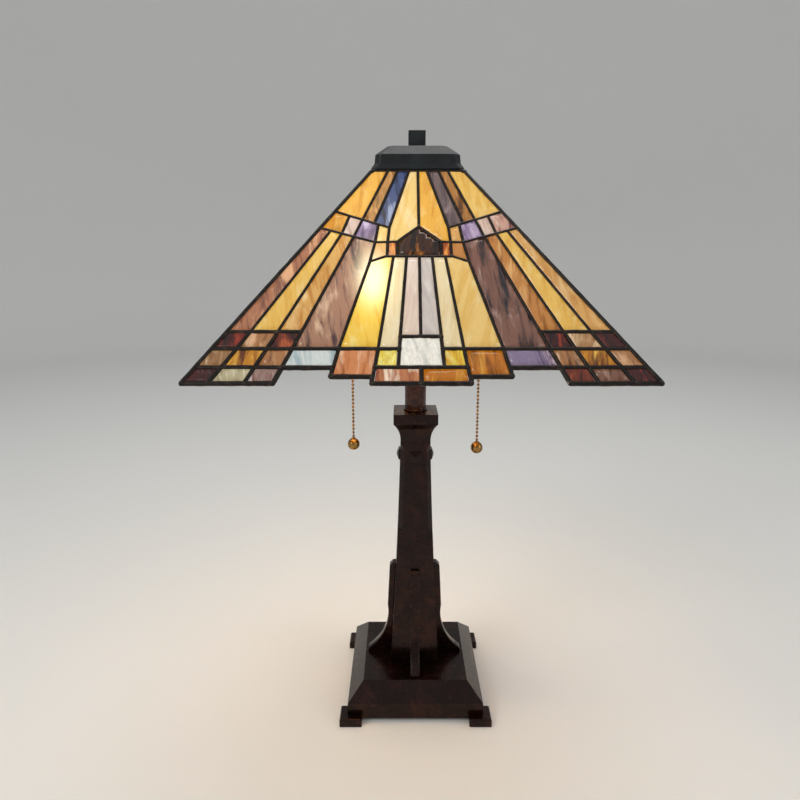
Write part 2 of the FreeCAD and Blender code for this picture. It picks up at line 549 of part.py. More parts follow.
def panes():
    """The panes of the right half by the colour of their sheet, and the whole ones on the centre line."""
    top = slope_length()
    apex = (0, 170)
    eave = (20.5, 151.5)
    inner_ray = seam((8.5, top), (27.8, 168.5), (29.2, 151), (29.6, LINTEL))
    second_ray = seam((19.9, top), (42.1, 174))
    third_ray = seam((29.3, top), (53.4, 178.3))
    band_low = [(29.2, 151), (40.9, 150.8), (61, 157.4), (72.3, 161.2), (82.8, 164.7),
                (hip(168.2), 168.2)]
    band_high = [(27.8, 168.5), (38.1, 172.4), (53.4, 178.3), (65.8, 183), (hip(188.7), 188.7)]
    bracket_foot = (45.3, 128)
    frame_side = seam((40.9, 150.8), bracket_foot, (69.6, LEDGE), (75.5, SHELF))
    first_ray = seam((61, 157.4), (102.3, RAIL), (122.5, FOOT))
    middle_ray = seam((72.3, 161.2), (122.5, RAIL), (146.5, FOOT))
    outer_ray = seam((82.8, 164.7), (146, RAIL), (176, FOOT))
    mullion = seam((23.8, LINTEL), (36.3, LEDGE), (41.2, FOOT))
    jamb = seam((11.7, LINTEL), (17.5, 47.3), (18.3, LEDGE), (19.3, SILL))
    step = (31, LINTEL)

    def edge(level):
        return (hip(level), level)

    def cell(inner, outer, low, high):
        return [inner(high), outer(high), outer(low), inner(low)]

    return {
        "honey": [
            [third_ray(top), edge(top), edge(188.7), band_high[3], band_high[2]],
            [(0, top), inner_ray(top), band_high[0], band_low[0], eave, apex],
            [band_high[0], band_high[1], band_low[1], band_low[0]]],
        "caramel": [
            [second_ray(top), third_ray(top), band_high[2], (42.1, 174)],
            [band_low[2], band_low[3], middle_ray(RAIL), first_ray(RAIL)],
            [band_low[0], band_low[1], bracket_foot, step, inner_ray(LINTEL)]],
        "blue": [[inner_ray(top), second_ray(top), (42.1, 174), band_high[1], band_high[0]]],
        "violet": [
            [band_high[1], band_high[2], band_low[2], band_low[1]],
            [frame_side(LEDGE), first_ray(LEDGE), first_ray(NOTCH), frame_side(NOTCH)]],
        "rose": [
            [band_high[2], band_high[3], band_low[3], band_low[2]],
            [band_high[3], edge(188.7), edge(168.2), band_low[4], band_low[3]],
            [band_low[4], edge(168.2), edge(RAIL), outer_ray(RAIL)]],
        "golden": [
            [band_low[3], band_low[4], outer_ray(RAIL), middle_ray(RAIL)],
            [step, bracket_foot, frame_side(LEDGE), mullion(LEDGE), mullion(LINTEL)]],
        "taupe": [
            [band_low[1], band_low[2], first_ray(RAIL), first_ray(LEDGE), frame_side(LEDGE), bracket_foot]],
        "cream": [
            [jamb(LINTEL), mullion(LINTEL), mullion(LEDGE), jamb(LEDGE), jamb(47.3)],
            [(0, LINTEL), jamb(LINTEL), jamb(47.3), (0, 47.3)]],
        "white": [across([jamb(47.3), jamb(LEDGE), jamb(SILL)])],
        "amber": [
            cell(jamb, mullion, SILL, LEDGE),
            [(0, SILL), mullion(SILL), mullion(FOOT), (0, FOOT)],
            [mullion(LEDGE), frame_side(LEDGE), frame_side(SHELF), mullion(SHELF)],
            cell(first_ray, middle_ray, SILL, LEDGE),
            cell(middle_ray, outer_ray, SILL, LEDGE)],
        "ruby": [
            [eave, band_low[0], inner_ray(LINTEL), (20.5, LINTEL)],
            cell(outer_ray, edge, LEDGE, RAIL),
            cell(first_ray, middle_ray, LEDGE, RAIL),
            cell(outer_ray, edge, FOOT, SILL),
            cell(first_ray, middle_ray, FOOT, SILL)],
        "brown": [
            [apex] + across([eave, (20.5, LINTEL)]),
            cell(middle_ray, outer_ray, LEDGE, RAIL),
            cell(outer_ray, edge, SILL, LEDGE),
            cell(middle_ray, outer_ray, FOOT, SILL)],
    }


def across(right):
    """A pane on the centre line: its right corners from the top down, then the left ones back up."""
    return right + [(-u, v) for u, v in reversed(right)]


def panel_outline():
    """A panel's outer edge: the stepped foot, the two hips and the top under the cap."""
    top = slope_length()
    right = [(hip(top), top), (hip(FOOT), FOOT), (120.6, FOOT), (115, NOTCH), (75.6, NOTCH),
             (77.3, SHELF), (43, SHELF), (43, FOOT)]
    return across(right)


def edge_width(first, second):
    """How far the solder covers a pane's edge."""
    u = abs(first[0] + second[0]) / 2
    v = (first[1] + second[1]) / 2
    if abs(hip(v) - u) < 0.01:
        return size("HipWidth")
    if first[1] == second[1] and v in (FOOT, SHELF, NOTCH):
        return size("BorderWidth")
    return size("GridSeamHalf") if v < RAIL else size("SeamHalf")


def inset(corners):
    """The part of a pane that its seams leave open: each edge moved inwards by its own width."""
    turning = sum(a[0] * b[1] - b[0] * a[1] for a, b in zip(corners, corners[1:] + corners[:1]))
    if turning < 0:
        corners = corners[::-1]
    lines = []
    for first, second in zip(corners, corners[1:] + corners[:1]):
        length = math.dist(first, second)
        direction = ((second[0] - first[0]) / length, (second[1] - first[1]) / length)
        width = edge_width(first, second)
        lines.append((first, direction, width))
    opened = []
    for (_, before, width_before), (corner, after, width_after) in zip(lines[-1:] + lines[:-1], lines):
        turn = before[0] * after[1] - before[1] * after[0]
        if abs(turn) < STRAIGHT_TURN:
            width = (width_before + width_after) / 2
            opened.append((corner[0] - after[1] * width, corner[1] + after[0] * width))
            continue
        along = (width_after - width_before * (before[0] * after[0] + before[1] * after[1])) / turn
        opened.append((corner[0] - before[1] * width_before - before[0] * along,
                       corner[1] + before[0] * width_before - before[1] * along))
    return opened


def openings():
    """Every pane's opening in a panel, by colour: both halves and the whole panes."""
    found = {}
    for colour, shapes in panes().items():
        found[colour] = []
        for corners in map(inset, shapes):
            found[colour].append(corners)
            if min(u for u, _ in corners) > 0:
                found[colour].append([(-u, v) for u, v in corners])
    return found


def panel_wire(corners, offset):
    """A closed wire on the front panel, at an offset outwards from its outer face."""
    step, outward = slope()
    foot = Vector(0, -size("ShadeHalf"), size("ShadeBottom"))
    points = [foot + Vector(u, 0, 0) + step * v + outward * offset for u, v in corners]
    return Part.makePolygon(points + points[:1])


def slab(wires, thickness):
    _, outward = slope()
    return Part.makeFace(wires, "Part::FaceMakerBullseye").extrude(outward * -thickness)


def turned_copy(shape, turn):
    copy = shape.copy()
    copy.rotate(Vector(0, 0, 0), UP, turn)
    return copy


def build_shade():
    """The glass panes by colour, all four sides together, and one solder lattice to a side."""
    found = openings()
    for colour, shapes in found.items():
        front = [slab([panel_wire(corners, 0)], size("GlassThickness")) for corners in shapes]
        every = [turned_copy(pane, turn) for turn in SIDES.values() for pane in front]
        node(f"glass_{colour}", shaped(f"sheet_{colour}", Part.makeCompound(every)))

    proud = size("SolderProud")
    wires = [panel_wire(corners, proud) for shapes in found.values() for corners in shapes]
    grille = slab([panel_wire(wide_outline(), proud)] + wires, size("GlassThickness") + 2 * proud)
    reach = 2 * size("ShadeHalf")
    corner = [Vector(0, 0, 0), Vector(-reach, -reach, 0), Vector(reach, -reach, 0), Vector(0, 0, 0)]
    quarter = Part.Face(Part.makePolygon(corner)).extrude(UP * 2 * size("ShadeTop"))
    mitred = grille.common(quarter).Solids[0]
    for side, turn in SIDES.items():
        node(f"lattice_{side}", shaped(f"solder_{side}", turned_copy(mitred, turn)))


def wide_outline():
    """The panel's outline run out past the hips, which the mitre then trims."""
    overrun = 1.05
    return [(u * overrun, v) if abs(abs(u) - hip(v)) < 0.01 else (u, v) for u, v in panel_outline()]


def eight_sided(half, level):
    """A square with cut corners, as a wire at a level."""
    leg = size("CapCorner")
    quarter = [(half, -half + leg), (half, half - leg)]
    points = []
    for turn in range(4):
        rotation = FreeCAD.Rotation(UP, 90 * turn)
        points += [rotation.multVec(Vector(x, y, 0)) + Vector(0, 0, level) for x, y in quarter]
    return Part.makePolygon(points + points[:1])


def build_cap():
    courses = (("CapLip", "CapBottom"), ("CapLip", "CapLipTop"), ("CapBandHalf", "CapBandBottom"),
               ("CapBandTopHalf", "CapBandTop"), ("CapRoofHalf", "CapRoof"))
    wires = [eight_sided(size(half), size(level)) for half, level in courses]
    form = shaped("cap_form", Part.makeLoft(wires, True, True))
    cavity = fuse("cap_cavity",
                  frustum("cap_cavity_low", "CapCavityHalf", "CapCavityHalf", "CapBottom - 1",
                          "CapCavityShoulder"),
                  frustum("cap_cavity_high", "CapCavityHalf", "CapCavityTopHalf", "CapCavityShoulder",
                          "CapCavityTop"))
    node("shade_cap", cut("cap", form, cavity,
                          rod("cap_hole", "RiserRadius + RiserGap", "CapCavityTop - 1", "CapRoof + 1")))

    rest = rod("rest_disc", "RestRadius", "CapCavityTop - TurnGap - RestThickness", "CapCavityTop - TurnGap")
    nut = part("rest_nut", "Prism", (0, 0, "CapCavityTop - TurnGap - RestThickness - RestNutHeight"),
               Circumradius="RestNutRadius", Height="RestNutHeight")
    nut.Polygon = 6
    node("shade_rest", cut("rest", fuse("rest_solid", rest, nut),
                           rod("rest_bore", "RiserRadius + FitGap", "CapCavityTop - 20", "CapCavityTop")))

    neck = frustum("finial_neck", "NeckHalf", "NeckHalf", "CapRoof + TurnGap", "NeckTop")
    block = frustum("finial_block", "FinialHalf", "FinialHalf", "NeckTop", "FinialTop")
    bore = rod("finial_bore", "RiserRadius + FitGap", "CapRoof", "RiserTop + 1")
    node("finial", cut("finial_cut", fuse("finial_solid", neck, block), bore))


def check_and_write():
    doc.recompute()
    for thing in doc.Objects:
        if "Invalid" in thing.State or "Error" in thing.State:
            raise RuntimeError(f"{thing.Name} did not build: {thing.State}")
    os.makedirs("parts", exist_ok=True)
    for label, thing in nodes.items():
        if thing.Shape.isNull() or not thing.Shape.isValid() or not thing.Shape.Solids:
            raise RuntimeError(f"{label} has no valid solid")
        thing.Shape.exportStep(f"parts/{label}.step")


build_base()
for corner, turn in CORNERS.items():
    build_foot(corner, turn)
build_base_hardware()
column_form = build_column()
for side, turn in SIDES.items():
    build_fin(side, turn, column_form)
build_pegs(column_form)
build_stem()
for side, way, hanging in (("left", -1, 20), ("right", 1, 21)):
    build_socket(side, way)
    build_pull(side, way, hanging)
build_shade()
build_cap()
check_and_write()
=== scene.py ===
"""Stained glass table lamp: the looks of every piece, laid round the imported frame."""
import math
import random

import bmesh
import bpy
from bpy.props import FloatProperty, FloatVectorProperty, PointerProperty
from bpy.types import Operator, Panel, PropertyGroup
from mathutils import Matrix, Vector, noise


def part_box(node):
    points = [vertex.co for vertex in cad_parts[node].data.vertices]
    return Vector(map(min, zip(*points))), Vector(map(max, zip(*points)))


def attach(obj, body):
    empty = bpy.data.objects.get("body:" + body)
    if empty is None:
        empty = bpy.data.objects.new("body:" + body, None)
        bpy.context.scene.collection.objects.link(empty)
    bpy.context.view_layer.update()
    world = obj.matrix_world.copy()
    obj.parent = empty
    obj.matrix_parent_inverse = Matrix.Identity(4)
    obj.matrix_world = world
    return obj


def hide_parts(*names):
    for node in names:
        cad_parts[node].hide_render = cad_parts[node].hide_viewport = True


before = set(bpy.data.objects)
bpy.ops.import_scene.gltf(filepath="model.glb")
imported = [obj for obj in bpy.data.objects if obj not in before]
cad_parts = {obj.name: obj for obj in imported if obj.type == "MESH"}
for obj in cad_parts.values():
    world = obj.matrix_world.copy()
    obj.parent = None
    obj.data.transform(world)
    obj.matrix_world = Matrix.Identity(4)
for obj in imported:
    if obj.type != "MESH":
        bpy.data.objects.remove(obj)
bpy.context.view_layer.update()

bl_info = {
    "name": "Stained Glass Table Lamp",
    "version": (1, 0, 0),
    "blender": (4, 5, 0),
    "location": "View3D > Sidebar > Lamp",
    "description": "Dresses a leaded glass table lamp: glass, solder, castings, bulbs and pull chains",
    "category": "Add Mesh",
}

MM = 0.001

# Points nearer than this are one point, in metres.
WELD = 0.00002

# Glass rippled deeper than this gets the finer mesh, in millimetres.
RIPPLED = 0.12

# Each sheet of glass: its main tint, the tint of its streaks, the tint of its wisps, how strongly it
# is streaked, and how deep its surface is rippled, in millimetres.
SHEETS = {
    "honey": ("#F2C766", "#E0AA40", "#F8DA90", 0.55, 0.05),
    "deep_honey": ("#EFB548", "#D8942E", "#F5C970", 0.60, 0.05),
    "pale_honey": ("#F1CE80", "#E6B95F", "#F8E0A8", 0.50, 0.05),
    "caramel": ("#AE783A", "#7A4E20", "#D09A58", 0.85, 0.05),
    "cobalt": ("#3D4E7E", "#1C2950", "#8492B4", 0.90, 0.05),
    "plum_grey": ("#72605F", "#594A4F", "#8E7A7C", 0.70, 0.05),
    "rose_white": ("#DCC0B4", "#BC9C90", "#F4E2D8", 0.60, 0.05),
    "marigold": ("#DA9226", "#A86A12", "#EBB04E", 0.70, 0.08),
    "rose": ("#D2A596", "#9C6F66", "#F2DED6", 0.95, 0.08),
    "violet": ("#8B749E", "#6A577E", "#C0ADD0", 0.90, 0.06),
    "umber": ("#3C1D08", "#1A0A03", "#8A5218", 1.00, 0.05),
    "ember": ("#A0461A", "#5E220C", "#DC8A3C", 0.90, 0.15),
    "tangerine": ("#DA9E44", "#B57628", "#EDBF74", 0.60, 0.05),
    "mauve_peach": ("#B57B5C", "#8B5A48", "#E0A880", 0.90, 0.05),
    "peach": ("#DFAC64", "#CC9148", "#F0CB94", 0.60, 0.05),
    "apricot": ("#E2B064", "#C98C40", "#F4D094", 0.70, 0.05),
    "toffee": ("#C58644", "#9F6428", "#DFA968", 0.80, 0.05),
    "taupe": ("#AD826A", "#7C5B50", "#CFA98E", 1.00, 0.05),
    "dark_taupe": ("#825B4E", "#563D37", "#A08078", 1.00, 0.05),
    "blush": ("#ECDACD", "#DCC3B8", "#F8ECE2", 0.45, 0.05),
    "mist": ("#D3CAC6", "#BDB6BA", "#E8E2DE", 0.45, 0.05),
    "golden": ("#F8CF52", "#EDB430", "#FCE48C", 0.60, 0.05),
    "cream": ("#F3E2B8", "#E5CB92", "#FBF0D8", 0.45, 0.05),
    "ruby": ("#400C05", "#200503", "#8A2E16", 0.90, 0.35),
    "rust": ("#6A2812", "#38120A", "#A8522C", 0.90, 0.30),
    "frost": ("#FCFBF6", "#D8DCDA", "#FFFFFF", 0.70, 0.35),
    "lemon": ("#F4DA48", "#DCA820", "#FFF08A", 0.80, 0.40),
    "ice": ("#D8E2E6", "#AEC2CC", "#F2F8FA", 0.80, 0.15),
    "lavender": ("#887A9C", "#66597A", "#C0AAC0", 0.95, 0.12),
    "coral": ("#D88C58", "#AE6434", "#ECBC98", 0.80, 0.20),
    "amber": ("#C4761A", "#96560C", "#DC9A3A", 0.75, 0.10),
    "pearl_rose": ("#C68056", "#985434", "#F0CBB4", 1.00, 0.15),
    "hazel": ("#AE7A4E", "#74482A", "#D6A880", 0.85, 0.12),
    "topaz": ("#C8861C", "#8C5608", "#F0BC50", 0.90, 0.40),
    "sand": ("#B48A60", "#8A6240", "#DCBC94", 0.80, 0.08),
    "opal": ("#9A7F78", "#7E3A2C", "#E8DCDC", 1.00, 0.25),
    "celadon": ("#BDB494", "#968A68", "#E6E0C4", 0.70, 0.10),
    "mauve": ("#7E5848", "#5A3A30", "#A88474", 0.85, 0.10),
}

# The panes of a panel, row by row up the slope, and in each row from the centre line out: the height
# that tops the row, in millimetres, then each pane and the sheets that its left and right ones are
# cut from.
ROWS = (
    (17, (("foot centre", "pearl_rose", "amber"), ("foot inner", "opal", "rust"),
          ("foot middle", "celadon", "mauve"), ("foot outer", "ruby", "ruby"))),
    (35, (("window", "frost", "frost"), ("window side", "lemon", "lemon"), ("side block", "coral", "amber"),
          ("notch", "ice", "lavender"), ("middle inner", "hazel", "hazel"), ("middle", "topaz", "topaz"),
          ("middle outer", "sand", "hazel"))),
    (52, (("upper inner", "rust", "ruby"), ("upper middle", "hazel", "sand"), ("upper end", "ruby", "ruby"))),
    (134, (("centre pale", "blush", "mist"), ("centre cream", "cream", "cream"),
           ("centre golden", "golden", "pale_honey"), ("wide", "taupe", "dark_taupe"),
           ("long inner", "apricot", "toffee"), ("long middle", "honey", "honey"),
           ("long outer", "mauve_peach", "peach"))),
    (155, (("house", "umber", "umber"), ("ember", "ember", "ember"), ("bracket", "tangerine", "toffee"))),
    (180, (("band pale", "pale_honey", "peach"), ("band violet", "violet", "violet"),
           ("band white", "rose_white", "rose_white"), ("band end", "marigold", "rose"))),
    (244, (("crown centre", "pale_honey", "deep_honey"), ("crown blue", "cobalt", "plum_grey"),
           ("crown strip", "caramel", "caramel"), ("crown outer", "deep_honey", "honey"))),
)

# The seams of a panel's right half, from the centre line out, in the same millimetres. HIP stands for
# the panel's edge at that height.
HIP = None
SEAMS = (
    ((0, 243.4), (0, 170)),
    ((0, 170), (20.5, 151.5), (29.2, 151)),
    ((8.5, 243.4), (27.8, 168.5), (29.2, 151), (29.6, 134)),
    ((19.9, 243.4), (42.1, 174)),
    ((29.3, 243.4), (53.4, 178.3)),
    ((27.8, 168.5), (38.1, 172.4), (53.4, 178.3), (65.8, 183), (HIP, 188.7)),
    ((29.2, 151), (40.9, 150.8), (61, 157.4), (72.3, 161.2), (82.8, 164.7), (HIP, 168.2)),
    ((38.1, 172.4), (40.9, 150.8)),
    ((53.4, 178.3), (61, 157.4)),
    ((65.8, 183), (72.3, 161.2)),
    ((40.9, 150.8), (45.3, 128), (69.6, 35), (75, 9)),
    ((61, 157.4), (102.3, 52), (122.5, 2)),
    ((72.3, 161.2), (122.5, 52), (146.5, 2)),
    ((82.8, 164.7), (146, 52), (176, 2)),
    ((0, 134), (31, 134), (45.3, 128)),
    ((20.5, 151.5), (20.5, 134)),
    ((23.8, 134), (36.3, 35), (41.2, 2)),
    ((11.7, 134), (17.5, 47.3), (18.3, 35), (19.3, 17)),
    ((0, 134), (0, 47.3)),
    ((0, 17), (0, 2)),
    ((0, 47.3), (17.5, 47.3)),
    ((18.3, 35), (HIP, 35)),
    ((0, 17), (38.8, 17)),
    ((115.9, 17), (HIP, 17)),
    ((102.3, 52), (HIP, 52)),
)

# The foot's stepped edge, from the centre line out, and the height of the lower grid, whose seams are
# the wider ones.
GRID_TOP = 52.5
FOOT_EDGE = ((0, 2.1), (41.1, 2.1), (41.1, 8.5), (75, 8.5), (73.6, 17), (116.2, 17), (122.4, 2.1), (HIP, 2.1))


def linear(code):
    """A colour code as linear red, green and blue."""
    values = (int(code[place:place + 2], 16) / 255 for place in (1, 3, 5))
    return tuple(v / 12.92 if v <= 0.04045 else ((v + 0.055) / 1.055) ** 2.4 for v in values)


class ShadeSizes(PropertyGroup):
    """Sizes of the glass and the solder."""
    seam_width: FloatProperty(name="Seam width", description="Width of a seam in the upper panel",
                              default=2.9 * MM, unit="LENGTH")
    grid_seam_width: FloatProperty(name="Lower seam width", description="Width of a seam near the foot",
                                   default=3.9 * MM, unit="LENGTH")
    edge_width: FloatProperty(name="Edge width", description="Width of the bead round the foot",
                              default=4.2 * MM, unit="LENGTH")
    hip_width: FloatProperty(name="Hip width", description="Width of the bead down each corner",
                             default=4.6 * MM, unit="LENGTH")
    proud: FloatProperty(name="Solder height", description="How far the solder stands above the glass",
                         default=0.75 * MM, unit="LENGTH")
    wobble: FloatProperty(name="Hand wobble", description="How unevenly the solder has run, as a share",
                          default=0.10, subtype="FACTOR")
    contrast: FloatProperty(name="Streak contrast", description="How far streaks stand out from the sheet",
                            default=1.6, min=0)
    glass: FloatProperty(name="Glass thickness", description="Thickness of the sheet glass",
                         default=2.4 * MM, unit="LENGTH")
    pitch: FloatProperty(name="Mesh pitch", description="Spacing of the mesh on smooth glass",
                         default=6 * MM, unit="LENGTH")
    ripple_pitch: FloatProperty(name="Ripple mesh pitch", description="Spacing on rippled glass",
                                default=1.5 * MM, unit="LENGTH")


class GlowSizes(PropertyGroup):
    """How the lit bulb shows in the glass."""
    base: FloatProperty(name="Base glow", description="Glow of glass far from the lit bulb", default=0.33)
    near: FloatProperty(name="Near glow", description="Extra glow of glass beside the bulb", default=0.34)
    hot: FloatProperty(name="Hot spot", description="Extra glow in front of the bulb", default=0.85)
    hot_radius: FloatProperty(name="Hot spot size", description="Radius of the hot spot",
                              default=19 * MM, unit="LENGTH")


class MetalColours(PropertyGroup):
    """Colours of the metal finishes."""
    bronze: FloatVectorProperty(name="Bronze", description="The castings", subtype="COLOR",
                                default=linear("#1B0D09"))
    bronze_worn: FloatVectorProperty(name="Worn bronze", description="Where the patina is thin",
                                     subtype="COLOR", default=linear("#3C1D14"))
    patina: FloatVectorProperty(name="Black patina", description="The cap and finial", subtype="COLOR",
                                default=linear("#14181A"))
    patina_worn: FloatVectorProperty(name="Worn patina", description="Where the black is thin",
                                     subtype="COLOR", default=linear("#262C2F"))
    tube: FloatVectorProperty(name="Stem", description="The stem tube", subtype="COLOR",
                              default=linear("#28140E"))
    tube_worn: FloatVectorProperty(name="Stem mottle", description="Mottle on the stem tube",
                                   subtype="COLOR", default=linear("#643828"))
    solder: FloatVectorProperty(name="Solder", description="Darkened solder", subtype="COLOR",
                                default=linear("#1E1712"))
    solder_bright: FloatVectorProperty(name="Bright solder", description="Where the solder is rubbed",
                                       subtype="COLOR", default=linear("#4A3A2C"))
    brass: FloatVectorProperty(name="Brass", description="Chains and balls", subtype="COLOR",
                               default=linear("#A9824A"))
    brass_dark: FloatVectorProperty(name="Dark brass", description="Tarnish on the chains",
                                    subtype="COLOR", default=linear("#4C3318"))
    zinc: FloatVectorProperty(name="Zinc", description="Pipe, rod, nuts and screws", subtype="COLOR",
                              default=linear("#B4B4AE"))
    zinc_dull: FloatVectorProperty(name="Dull zinc", description="Dull patches on the zinc",
                                   subtype="COLOR", default=linear("#85857E"))
    moulding: FloatVectorProperty(name="Moulding", description="Switch blocks and bushing",
                                  subtype="COLOR", default=linear("#1A1512"))


mixed = {}


class Wire:
    """A shader socket that adds Math nodes as an expression on it is worked out."""

    def __init__(self, tree, socket):
        self.tree = tree
        self.socket = socket

    def math(self, operation, first, second):
        node = self.tree.nodes.new("ShaderNodeMath")
        node.operation = operation
        for socket, value in zip(node.inputs, (first, second)):
            plug(self.tree, socket, value)
        return Wire(self.tree, node.outputs[0])

    def __add__(self, other):
        return self.math("ADD", self, other)

    def __radd__(self, other):
        return self.math("ADD", other, self)

    def __sub__(self, other):
        return self.math("SUBTRACT", self, other)

    def __rsub__(self, other):
        return self.math("SUBTRACT", other, self)

    def __mul__(self, other):
        return self.math("MULTIPLY", self, other)

    def __rmul__(self, other):
        return self.math("MULTIPLY", other, self)

    def __pow__(self, other):
        return self.math("POWER", self, other)


def plug(tree, socket, value):
    """Links a wire to a socket, or sets a plain value on it."""
    if isinstance(value, Wire):
        tree.links.new(value.socket, socket)
    elif socket.type == "RGBA":
        socket.default_value = (*value[:3], 1)
    else:
        socket.default_value = value


class Finish:
    """A material being mixed: a Principled shader and the nodes that feed it."""

    def __init__(self, name):
        self.material = bpy.data.materials.new(name)
        self.material.use_nodes = True
        self.tree = self.material.node_tree
        self.tree.nodes.clear()
        self.shader = self.tree.nodes.new("ShaderNodeBsdfPrincipled")
        output = self.tree.nodes.new("ShaderNodeOutputMaterial")
        self.tree.links.new(self.shader.outputs[0], output.inputs["Surface"])

    def node(self, kind, settings, sockets, output=0):
        """Adds a node: its settings first, then its sockets; returns the asked output."""
        made = self.tree.nodes.new(f"ShaderNode{kind}")
        for name, value in settings.items():
            setattr(made, name, value)
        for name, value in sockets.items():
            plug(self.tree, made.inputs[name], value)
        return Wire(self.tree, made.outputs[output])

    def stretched(self, where, scale, shift=(0, 0, 0)):
        """Coordinates multiplied and shifted."""
        scaled = self.node("VectorMath", {"operation": "MULTIPLY"}, {0: where, 1: scale})
        return self.node("VectorMath", {"operation": "ADD"}, {0: scaled, 1: shift})

    def scaled(self, colour, share):
        """A colour made brighter or darker."""
        return self.node("VectorMath", {"operation": "SCALE"}, {0: colour, "Scale": share})

    def cloud(self, where, scale, detail=4.0, roughness=0.55, distortion=0.0):
        """Soft noise from 0 to 1."""
        return self.node("TexNoise", {}, {"Vector": where, "Scale": scale, "Detail": detail,
                                          "Roughness": roughness, "Distortion": distortion})

    def ramp(self, value, low, high):
        """The value spread so that low gives 0 and high gives 1, smoothly."""
        return self.node("MapRange", {"interpolation_type": "SMOOTHSTEP"},
                         {"Value": value, "From Min": low, "From Max": high})

    def blend(self, share, first, second):
        """Two colours mixed."""
        made = self.tree.nodes.new("ShaderNodeMix")
        made.data_type = "RGBA"
        plug(self.tree, made.inputs["Factor"], share)
        for name, value in (("A", first), ("B", second)):
            socket = next(s for s in made.inputs if s.name == name and s.type == "RGBA")
            plug(self.tree, socket, value)
        return Wire(self.tree, next(s for s in made.outputs if s.type == "RGBA"))

    def bump(self, height, strength, distance):
        return self.node("Bump", {}, {"Height": height, "Strength": strength, "Distance": distance})

    def surface(self):
        """The piece's own coordinates, in metres."""
        return self.node("TexCoord", {}, {}, "Object")

    def set(self, **sockets):
        for name, value in sockets.items():
            plug(self.tree, self.shader.inputs[name.replace("_", " ")], value)
        return self.material


def metal_finish(name, main, worn, metallic, roughness, patch=60, coat=0.0, grain=0.00006):
    """A patinated metal: cloudy patches, a finer mottle, and a hammered skin too fine to see as shape."""
    finish = Finish(name)
    where = finish.surface()
    patches = finish.ramp(finish.cloud(where, patch, 5, 0.6, 0.4), 0.42, 0.72)
    mottle = finish.ramp(finish.cloud(where, patch * 9, 3), 0.45, 0.70)
    share = patches * 0.65 + mottle * 0.25
    rough = roughness + (finish.cloud(where, patch * 4, 4) - 0.5) * 0.18
    skin = finish.cloud(where, 900, 3, 0.6) + finish.cloud(where, 160, 2) * 1.6
    return finish.set(Base_Color=finish.blend(share, main, worn), Metallic=metallic, Roughness=rough,
                      Coat_Weight=coat, Coat_Roughness=0.12, Normal=finish.bump(skin, 0.35, grain))


def solder_finish(name, colours):
    """Solder blackened with patina, rubbed brighter where it stands proud, with pits and ripples."""
    finish = Finish(name)
    where = finish.surface()
    rubbed = finish.ramp(finish.cloud(where, 210, 4, 0.6, 0.6), 0.50, 0.78)
    rough = 0.30 + finish.cloud(where, 320, 3) * 0.22
    skin = finish.cloud(where, 420, 3, 0.6) + finish.cloud(where, 130, 2) * 1.5
    return finish.set(Base_Color=finish.blend(rubbed, colours.solder, colours.solder_bright),
                      Metallic=0.55, Roughness=rough, Normal=finish.bump(skin, 0.5, 0.00018))


def pushed(main, other):
    """A streak's colour, moved further from the sheet's main tint by the streak contrast."""
    contrast = bpy.context.scene.lamp_shade.contrast
    return tuple(min(1.0, max(0.0, a + (b - a) * contrast)) for a, b in zip(linear(main), linear(other)))


def sheet_glass(name, recipe):
    """Opalescent sheet glass: streaks drawn along the sheet, pale wisps between them, and a soft glow
    where the light behind comes through. The sheet's grain is in its UV map, in metres."""
    main, streak, wisp, strength, ripple = recipe
    finish = Finish(name)
    grain = finish.node("UVMap", {"uv_map": "Sheet"}, {})
    along = finish.stretched(grain, (130, 17, 0))
    drift = finish.cloud(along, 1.0, 4, 0.5, 0.7)
    fine = finish.cloud(finish.stretched(grain, (620, 60, 0), (7, 3, 0)), 1.0, 4, 0.6, 0.8)
    veil = finish.cloud(finish.stretched(grain, (75, 20, 0), (3, 9, 0)), 1.0, 4, 0.52, 0.9)
    dark = finish.ramp(drift * 0.75 + fine * 0.25, 0.46, 0.64) * strength
    pale = finish.ramp(veil * 0.78 + fine * 0.22, 0.50, 0.66) * strength
    tint = finish.blend(dark, linear(main), pushed(main, streak))
    tint = finish.blend(pale, tint, pushed(main, wisp))
    rolled = finish.cloud(finish.stretched(grain, (420, 170, 0)), 1.0, 4, 0.62, 1.2)
    depth = 0.03 + ripple * 1.8
    # Lighter and darker patches that follow the rolled surface are painted highlight and shade of the ripples;
    # the fine streak noise mixed in is the glass's own uneven tone.
    tint = finish.scaled(tint, 1 + (rolled * 0.7 + fine * 0.3 - 0.5) * (2 * depth))
    glow = finish.node("Attribute", {"attribute_name": "Glow"}, {}, "Fac")
    lit = finish.node("CombineXYZ", {}, {"X": glow, "Y": glow * glow ** 0.12, "Z": glow * glow ** 0.35})
    hot = finish.ramp(glow, 0.55, 1.35)
    shine = finish.node("VectorMath", {"operation": "MULTIPLY"},
                        {0: finish.blend(hot, tint, linear("#FFEFC0")), 1: lit})
    skin = finish.cloud(finish.stretched(grain, (70, 30, 0)), 1.0, 3)
    rough = 0.08 + rolled * 0.14
    relief = finish.bump(skin + rolled * (0.3 + 2 * ripple), 0.5, 0.0004 + ripple * 0.0012)
    return finish.set(Base_Color=finish.scaled(tint, 0.6), Roughness=rough, Emission_Color=shine,
                      Emission_Strength=1.0, Coat_Weight=0.15, Coat_Roughness=0.06, Normal=relief)


